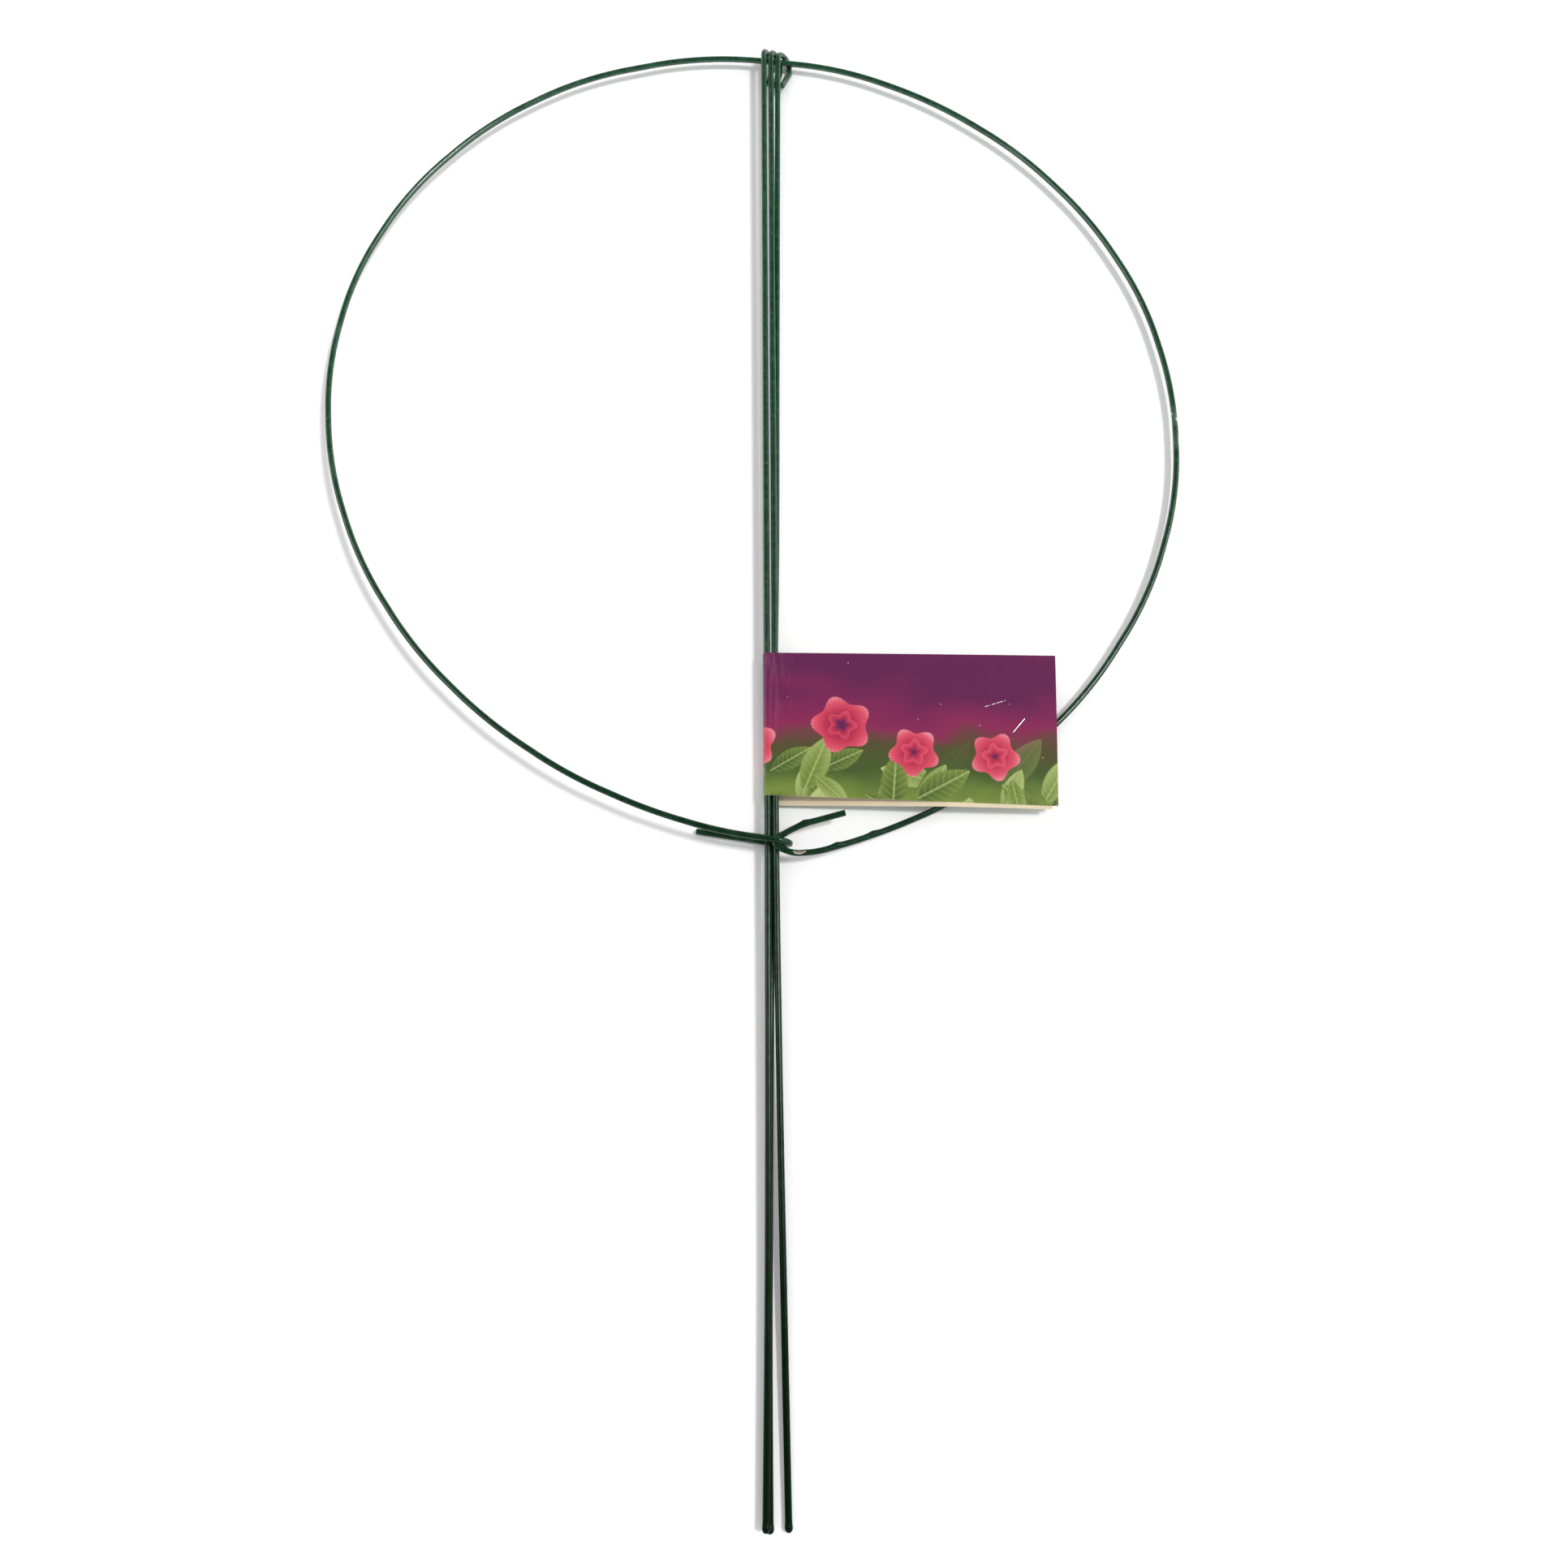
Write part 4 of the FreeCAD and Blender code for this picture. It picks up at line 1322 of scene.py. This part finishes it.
    def build(self, coating: bpy.types.Material) -> bpy.types.Object:
        """Makes the coating of the leg as one skin from the end of its tail to its drop."""
        line = self.line()
        stock = self.stock
        start = WireEnd.cut(stock.radius, self.tail_rounding)
        end = WireEnd.drop(stock.radius, self.bead_diameter / 2.0, self.bead_length / 2.0, self.neck)
        corners = shortened(line.corners, start.length, self.bead_set + self.neck)
        spacings = np.full(len(corners) - 1, self.spacing)
        spacings[:4] = self.eye_spacing
        course = BentLine(corners, line.radii).sampled(spacings)
        surface = WireSkin(course, stock.radius, self.around, start, end).surface(self.shaping())
        name = self.body.value
        return placed(
            name + "_coat", surface.mesh(name + "_coat"), self.body, [coating],
            [name + "_coating", name + "_eye_coating"],
        )


@dataclass
class HeaderCard:
    """Header card: one board, folded beside the left leg, its two sides stapled together."""

    left_leg: Leg
    right_leg: Leg
    thickness: float = 0.3
    gap: float = 0.15
    height: float = 74.1
    flare: float = 5.5
    fall: float = 1.0
    lean: float = 1.5
    width: float = 148.3
    taper: float = 2.6
    rise: float = 98.5
    back_drop: float = 3.5
    back_drop_free: float = 1.5
    back_short: float = 3.0
    pocket: float = 92.0
    fold_radius: float = 1.8
    panel_gap: float = 0.03
    overrun_share: float = 0.1
    pocket_bend_share: float = 0.3
    curl: float = 0.5
    across_count: int = 70
    spacing: float = 1.6
    bend_step: float = math.radians(12.0)

    def __post_init__(self) -> None:
        """Works out where the card lies on the legs."""
        corners = self.left_leg.corners()
        self.top = self.rise - self.left_leg.ring.link_reach
        self.overrun = self.overrun_share * self.height
        self.start = self.top + self.overrun
        self.slide = unit(corners[4] - corners[3])
        reach = self.left_leg.stock.radius + self.gap + self.thickness / 2.0
        on_leg = self.left_leg.place_on(self.start)
        self.fold_side = on_leg[0] - reach
        self.front_level = on_leg[2] + reach
        self.pocket_side = self.fold_side + self.pocket
        below = [corner - self.left_leg.place_on(corner[1]) for corner in self.right_leg.corners()[4:7]]
        low = on_leg + min(below, key=lambda step: step[2])
        share = (low[0] - self.fold_side) / self.pocket
        self.fold_level = (low[2] - reach - self.back_at(self.pocket_side) * share) / (1.0 - share)

    def front_at(self, side: Union[float, Array]) -> Union[float, Array]:
        """Level of the front at this side."""
        return self.front_level - self.lean * (side - self.fold_side) / self.width

    def back_at(self, side: Union[float, Array]) -> Union[float, Array]:
        """Level of the back where it lies against the front."""
        return self.front_at(side) - self.thickness - self.panel_gap

    def section(self) -> Course:
        """Section of the board, from the front's free end round the fold to the back's free end."""
        front_far = self.fold_side + self.width
        back_far = front_far - self.back_short
        corners = np.array([
            (front_far, 0.0, self.front_at(front_far)), (self.fold_side, 0.0, self.front_level),
            (self.fold_side, 0.0, self.fold_level), (self.pocket_side, 0.0, self.back_at(self.pocket_side)),
            (back_far, 0.0, self.back_at(back_far)),
        ])
        bend = self.pocket_bend_share * self.pocket
        radii = np.array([0.0, self.fold_radius, self.fold_radius, bend, 0.0])
        return BentLine(corners, radii).sampled(np.full(4, self.spacing), self.bend_step)

    def sheet(self, section: Course, back: Array, down: Array) -> tuple[Array, Array]:
        """Middle of the board, drawn out along the left leg.

        The upper and lower edge are straight lines across the card, those of the front and of the back
        with a smooth change round the fold. The free corners curl towards the ground by
        curl * q^4 * (2 w - 1)^2, with q the share across and w the share down.

        Args:
            section: Section of the board, one row for each of its samples.
            back: Share of the back at each row, from 0 on the front to 1 on the back.
            down: Share down the card at each column.

        Returns:
            The places of the middle, and the share across of each row.
        """
        base, headings = section.places, section.directions
        near = self.fold_side - self.overrun
        far = self.fold_side + self.width - self.back_short * back
        across = np.clip((base[:, :1] - self.fold_side) / (far - self.fold_side), 0.0, 1.0)
        foot = self.top - self.height
        side = base[:, :1] - self.taper * down * across
        upper = self.top - self.back_drop * back - self.fall * (side - near) / (far - near)
        lower_near = foot - self.back_drop * back
        lower_far = foot - self.flare - self.back_drop_free * back
        lower = lower_near + (lower_far - lower_near) * (side - near) / (far - self.taper - near)
        y = upper + (lower - upper) * down
        travel = (y - self.start) / self.slide[1]
        runs = headings[:, :1]
        flat = np.abs(runs) > 0.5
        slope = np.where(flat, headings[:, 2:] / np.where(flat, runs, 1.0), 0.0)
        x = side + self.slide[0] * travel * (1.0 - across)
        z = base[:, 2:] + slope * (side - base[:, :1]) + self.slide[2] * travel
        z = z - self.curl * across ** 4 * (2.0 * down - 1.0) ** 2
        return np.stack(np.broadcast_arrays(x, y, z), axis=-1), across

    def surface(self) -> Surface:
        """Board as a thin closed shell.

        Rows follow the section, columns go down the outside and up the inside. The mask of the fold is
        exp(-(a / 0.7)^4), with a the distance from its middle over half its length.
        """
        section = self.section()
        stations = section.stations
        fold = stations[section.places[:, 0] < self.fold_side + self.fold_radius]
        down = np.linspace(0.0, 1.0, self.across_count)[None, :]
        middle, across = self.sheet(section, eased(stations, fold[0], fold[-1])[:, None], down)
        outward = unit(np.cross(np.gradient(middle, axis=0), np.gradient(middle, axis=1)))
        half = outward * (self.thickness / 2.0)
        grid = np.concatenate(((middle + half)[:, ::-1], middle - half), axis=1)
        span = 1.0 - 2.0 * MAP_MARGIN
        on_map = MAP_MARGIN + span * np.stack(np.broadcast_arrays(across, 1.0 - down), axis=-1)
        lattice = np.concatenate((on_map[:, ::-1], on_map, on_map[:, -1:]), axis=1)
        half_fold = (fold[-1] - fold[0]) / 2.0
        close = np.exp(-((stations - fold[0] - half_fold) / (half_fold * 0.7)) ** 4)
        masks = {Mask.FOLD: np.repeat(close[:, None], grid.shape[1], axis=1)}
        side_quads = self.across_count - 1
        materials = np.array(([OUTSIDE] * side_quads + [EDGE]) + ([INSIDE] * side_quads + [EDGE]))
        return Surface(grid, Closing.FLAT, lattice, None, masks, materials, EDGE)

    def build(self, outside: bpy.types.Material, inside: bpy.types.Material,
              edge: bpy.types.Material) -> bpy.types.Object:
        """Makes the card as one board."""
        mesh = self.surface().mesh("card_board")
        return placed("card_board", mesh, Body.CARD, [outside, inside, edge], ["card"])


@dataclass
class Staple:
    """Staple through both sides of the card, its legs turned in behind them."""

    card: HeaderCard
    diameter: float = 0.6
    crown: float = 9.6
    inset: float = 20.3
    drop: float = 38.3
    foot: float = 3.6
    bend_radius: float = 0.6
    stand: float = 0.05
    turn: float = 50.0
    end_rounding: float = 0.1
    around: int = 16
    spacing: float = 0.3
    bend_step: float = math.radians(9.0)

    def corners(self) -> Array:
        """Corners of the staple, from one foot over the crown to the other."""
        card = self.card
        middle = np.array([card.fold_side + card.width - self.inset, card.top - self.drop])
        course = np.array([math.cos(math.radians(self.turn)), math.sin(math.radians(self.turn))])
        stand = card.thickness / 2.0 + self.stand + self.diameter / 2.0
        half = self.crown / 2.0
        foot = half - self.foot
        rows = ((-foot, card.back_at, -stand), (-half, card.back_at, -stand), (-half, card.front_at, stand),
                (half, card.front_at, stand), (half, card.back_at, -stand), (foot, card.back_at, -stand))
        points = []
        for along, level_at, away in rows:
            x, y = middle + course * along
            lean = card.slide[2] / card.slide[1] * (y - card.start)
            points.append((x, y, level_at(x) + lean + away))
        return np.array(points)

    def build(self, plate: bpy.types.Material) -> bpy.types.Object:
        """Makes the staple."""
        corners = self.corners()
        radii = np.array([0.0] + [self.bend_radius] * 4 + [0.0])
        end = WireEnd.cut(self.diameter / 2.0, self.end_rounding)
        line = BentLine(shortened(corners, end.length, end.length), radii)
        course = line.sampled(np.full(len(corners) - 1, self.spacing), self.bend_step)
        skin = WireSkin(course, self.diameter / 2.0, self.around, end, end).surface()
        return placed("staple_wire", skin.mesh("staple_wire"), Body.CARD, [plate], ["staple"])


# Studio.


@dataclass(frozen=True)
class Softbox:
    """A large soft reflector beside the support, which shows as a sheen on glossy pieces only."""

    name: str
    place: tuple
    power: float
    target: tuple = (0.0, -0.08, 0.0)
    width: float = 0.62
    length: float = 1.00

    def build(self) -> bpy.types.Object:
        """Puts the reflector into the scene."""
        lamp = bpy.data.lights.new(self.name, "AREA")
        lamp.shape = "RECTANGLE"
        lamp.size, lamp.size_y = self.width, self.length
        lamp.energy = self.power
        made = bpy.data.objects.new(self.name, lamp)
        bpy.context.scene.collection.objects.link(made)
        made.location = self.place
        toward = (Vector(self.target) - Vector(self.place)).normalized()
        side = Vector((0.0, 1.0, 0.0)).cross(toward).normalized()
        axes = Matrix((side, side.cross(toward), -toward))
        made.rotation_euler = axes.transposed().to_euler()
        made.visible_diffuse = False
        return made


@dataclass(frozen=True)
class Daylight:
    """Distant soft light whose shadow falls to the left and below."""

    name: str
    direction: tuple
    strength: float
    spread: float

    def build(self) -> bpy.types.Object:
        """Puts the light into the scene."""
        lamp = bpy.data.lights.new(self.name, "SUN")
        lamp.energy = self.strength
        lamp.angle = math.radians(self.spread)
        made = bpy.data.objects.new(self.name, lamp)
        made.rotation_euler = Vector(self.direction).to_track_quat("Z", "Y").to_euler()
        bpy.context.scene.collection.objects.link(made)
        return made


@dataclass
class Studio:
    """Pale ground, soft light and the camera above the support."""

    ground_colour: tuple = (0.985, 0.985, 0.985)
    ground_shade: tuple = (0.97, 0.97, 0.97)
    camera_place: tuple = (0.0175, -0.3784, 0.6288)
    camera_tilt: float = 15.0
    sensor_width: float = 36.0
    lens: float = 29.81
    fill: float = 0.74
    mirrored_fade: tuple = (0.30, 0.52)
    ground_gap: float = 0.0002
    ground_reach: float = 12.0
    ground_lines: int = 41
    ground_fade: tuple = (0.9, 2.2)
    lamps: tuple = (
        Daylight("main_light", direction=(0.58, 0.08, 1.0), strength=1.55, spread=9.0),
        Softbox("left_reflector", place=(-1.15, -0.08, 0.88), power=8.5),
        Softbox("right_reflector", place=(1.15, -0.08, 0.88), power=9.5),
    )

    def ground_finish(self) -> bpy.types.Material:
        """Matt paper that the camera sees as plain white in the distance."""
        bench = Bench.material("ground_finish")
        place = bench.place()
        x, y, _ = bench.parts(place)
        distance = (x * x + y * y).root()
        seen = Reading(bench, bench.node("ShaderNodeLightPath").outputs["Is Camera Ray"])
        paper = bench.blended(bench.noise(place, 3.0, 2.0) * 0.2, self.ground_colour, self.ground_shade)
        matt = bench.node("ShaderNodeBsdfDiffuse", None, {"Color": paper}).outputs[0]
        plain = {"Color": (1.0, 1.0, 1.0), "Strength": 1.0}
        white = bench.node("ShaderNodeEmission", None, plain).outputs[0]
        share = seen * distance.rising(*self.ground_fade)
        mixed = bench.node("ShaderNodeMixShader", None, {0: share, 1: matt, 2: white}).outputs[0]
        bench.node("ShaderNodeOutputMaterial", None, {0: mixed})
        return bench.holder

    def ground(self, level: float) -> None:
        """Makes the ground, a level sheet at this height in metres."""
        steps = np.linspace(-self.ground_reach, self.ground_reach, self.ground_lines)
        x, y = np.meshgrid(steps, steps, indexing="ij")
        rows, columns = x.shape
        vertices = np.stack((x, y, np.full_like(x, level)), axis=-1).reshape(-1, 3)
        first = np.arange(rows - 1)[:, None] * columns + np.arange(columns - 1)[None, :]
        quads = np.stack((first, first + columns, first + columns + 1, first + 1), axis=-1).reshape(-1, 4)
        mesh = bpy.data.meshes.new("ground_sheet")
        mesh.from_pydata(vertices.tolist(), [], quads.tolist())
        mesh.materials.append(self.ground_finish())
        sheet = bpy.data.objects.new("ground_sheet", mesh)
        bpy.context.scene.collection.objects.link(sheet)
        sheet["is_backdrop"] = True

    def sky(self) -> None:
        """Lights the surroundings: an even fill, seen as a white backdrop.

        In a reflection or through a clear piece, the strength falls by a smooth step from 1 near the
        horizon to 0 above, with the upward part of the direction.
        """
        world = bpy.data.worlds.new("studio_surroundings")
        bpy.context.scene.world = world
        bench = Bench(world)
        upward = bench.parts(bench.place())[2]
        path = bench.node("ShaderNodeLightPath").outputs
        kinds = ("Is Camera Ray", "Is Glossy Ray", "Is Transmission Ray")
        seen, glossy, clear = (Reading(bench, path[kind]) for kind in kinds)
        mirrored = glossy.at_least(clear) * (1.0 - seen)
        reflected = mirrored * upward.falling(*self.mirrored_fade)
        strength = seen + reflected + (1.0 - seen.at_least(mirrored)) * self.fill
        colour = {"Color": (1.0, 1.0, 1.0), "Strength": strength}
        lit = bench.node("ShaderNodeBackground", None, colour).outputs[0]
        bench.node("ShaderNodeOutputWorld", None, {0: lit})

    def camera(self) -> None:
        """Sets the camera that the support is seen from."""
        data = bpy.data.cameras.new("camera")
        data.sensor_width = self.sensor_width
        data.lens = self.lens
        made = bpy.data.objects.new("camera", data)
        made.location = self.camera_place
        made.rotation_euler = Euler((math.radians(self.camera_tilt), 0.0, 0.0))
        bpy.context.scene.collection.objects.link(made)
        bpy.context.scene.camera = made

    def build(self, lowest: float) -> None:
        """Makes the ground just below the lowest point of the support, the light and the camera."""
        self.ground(lowest - self.ground_gap)
        self.sky()
        for lamp in self.lamps:
            lamp.build()
        self.camera()
        bpy.context.scene.view_settings.view_transform = "Standard"


def legs() -> dict[Body, Leg]:
    """The three legs with their routes."""
    rows = (
        Leg(Body.LEG_LEFT, eye_turn=25.0, close_share=0.42, side_share=0.0, seed=1.1, route=(
            (1.0, 0.0, 1.95), (1.38, 0.17, 1.60), (1.68, 0.22, 1.25), (2.0, 0.03, 1.03),
        )),
        Leg(Body.LEG_MIDDLE, eye_turn=30.0, close_share=0.55, side_share=1.19, seed=2.9, route=(
            (0.38, 1.16, 2.41), (0.66, 1.14, 2.20), (1.0, 1.10, 1.95), (1.38, 1.64, 1.35),
            (1.73, 2.30, 0.60), (2.0, 2.84, None),
        )),
        Leg(Body.LEG_RIGHT, eye_turn=40.0, close_share=0.36, side_share=2.34, seed=4.4, route=(
            (0.38, 1.83, 1.62), (0.47, 1.72, 1.48), (0.66, 1.50, 1.12), (1.0, 0.64, 1.02),
            (1.38, 0.41, 0.52), (1.78, 0.33, 0.16), (2.0, 0.51, None),
        )),
    )
    return {leg.body: leg for leg in rows}


def main() -> None:
    """Builds the support's looks on the packed frame, then the studio, and writes both boxes."""
    logging.basicConfig(level=logging.INFO, format="%(message)s")
    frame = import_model()
    cad_low, cad_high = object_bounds()
    coating = CoatingFinish().material()
    steel = SteelFinish().material()
    Ring().build(coating)
    wires = legs()
    for leg in wires.values():
        leg.build(coating)
    card = HeaderCard(wires[Body.LEG_LEFT], wires[Body.LEG_RIGHT])
    card.build(PrintFinish().material(), BoardFinish().material(), CutEdgeFinish().material())
    Staple(card).build(StapleFinish().material())
    for name, node in frame["nodes"].items():
        if name.endswith("_steel"):
            node.data.materials.clear()
            node.data.materials.append(steel)
            LOG.info("%s: finished as drawn steel", name)
    Studio().build(cad_low.z)


if __name__ == "__main__":
    main()
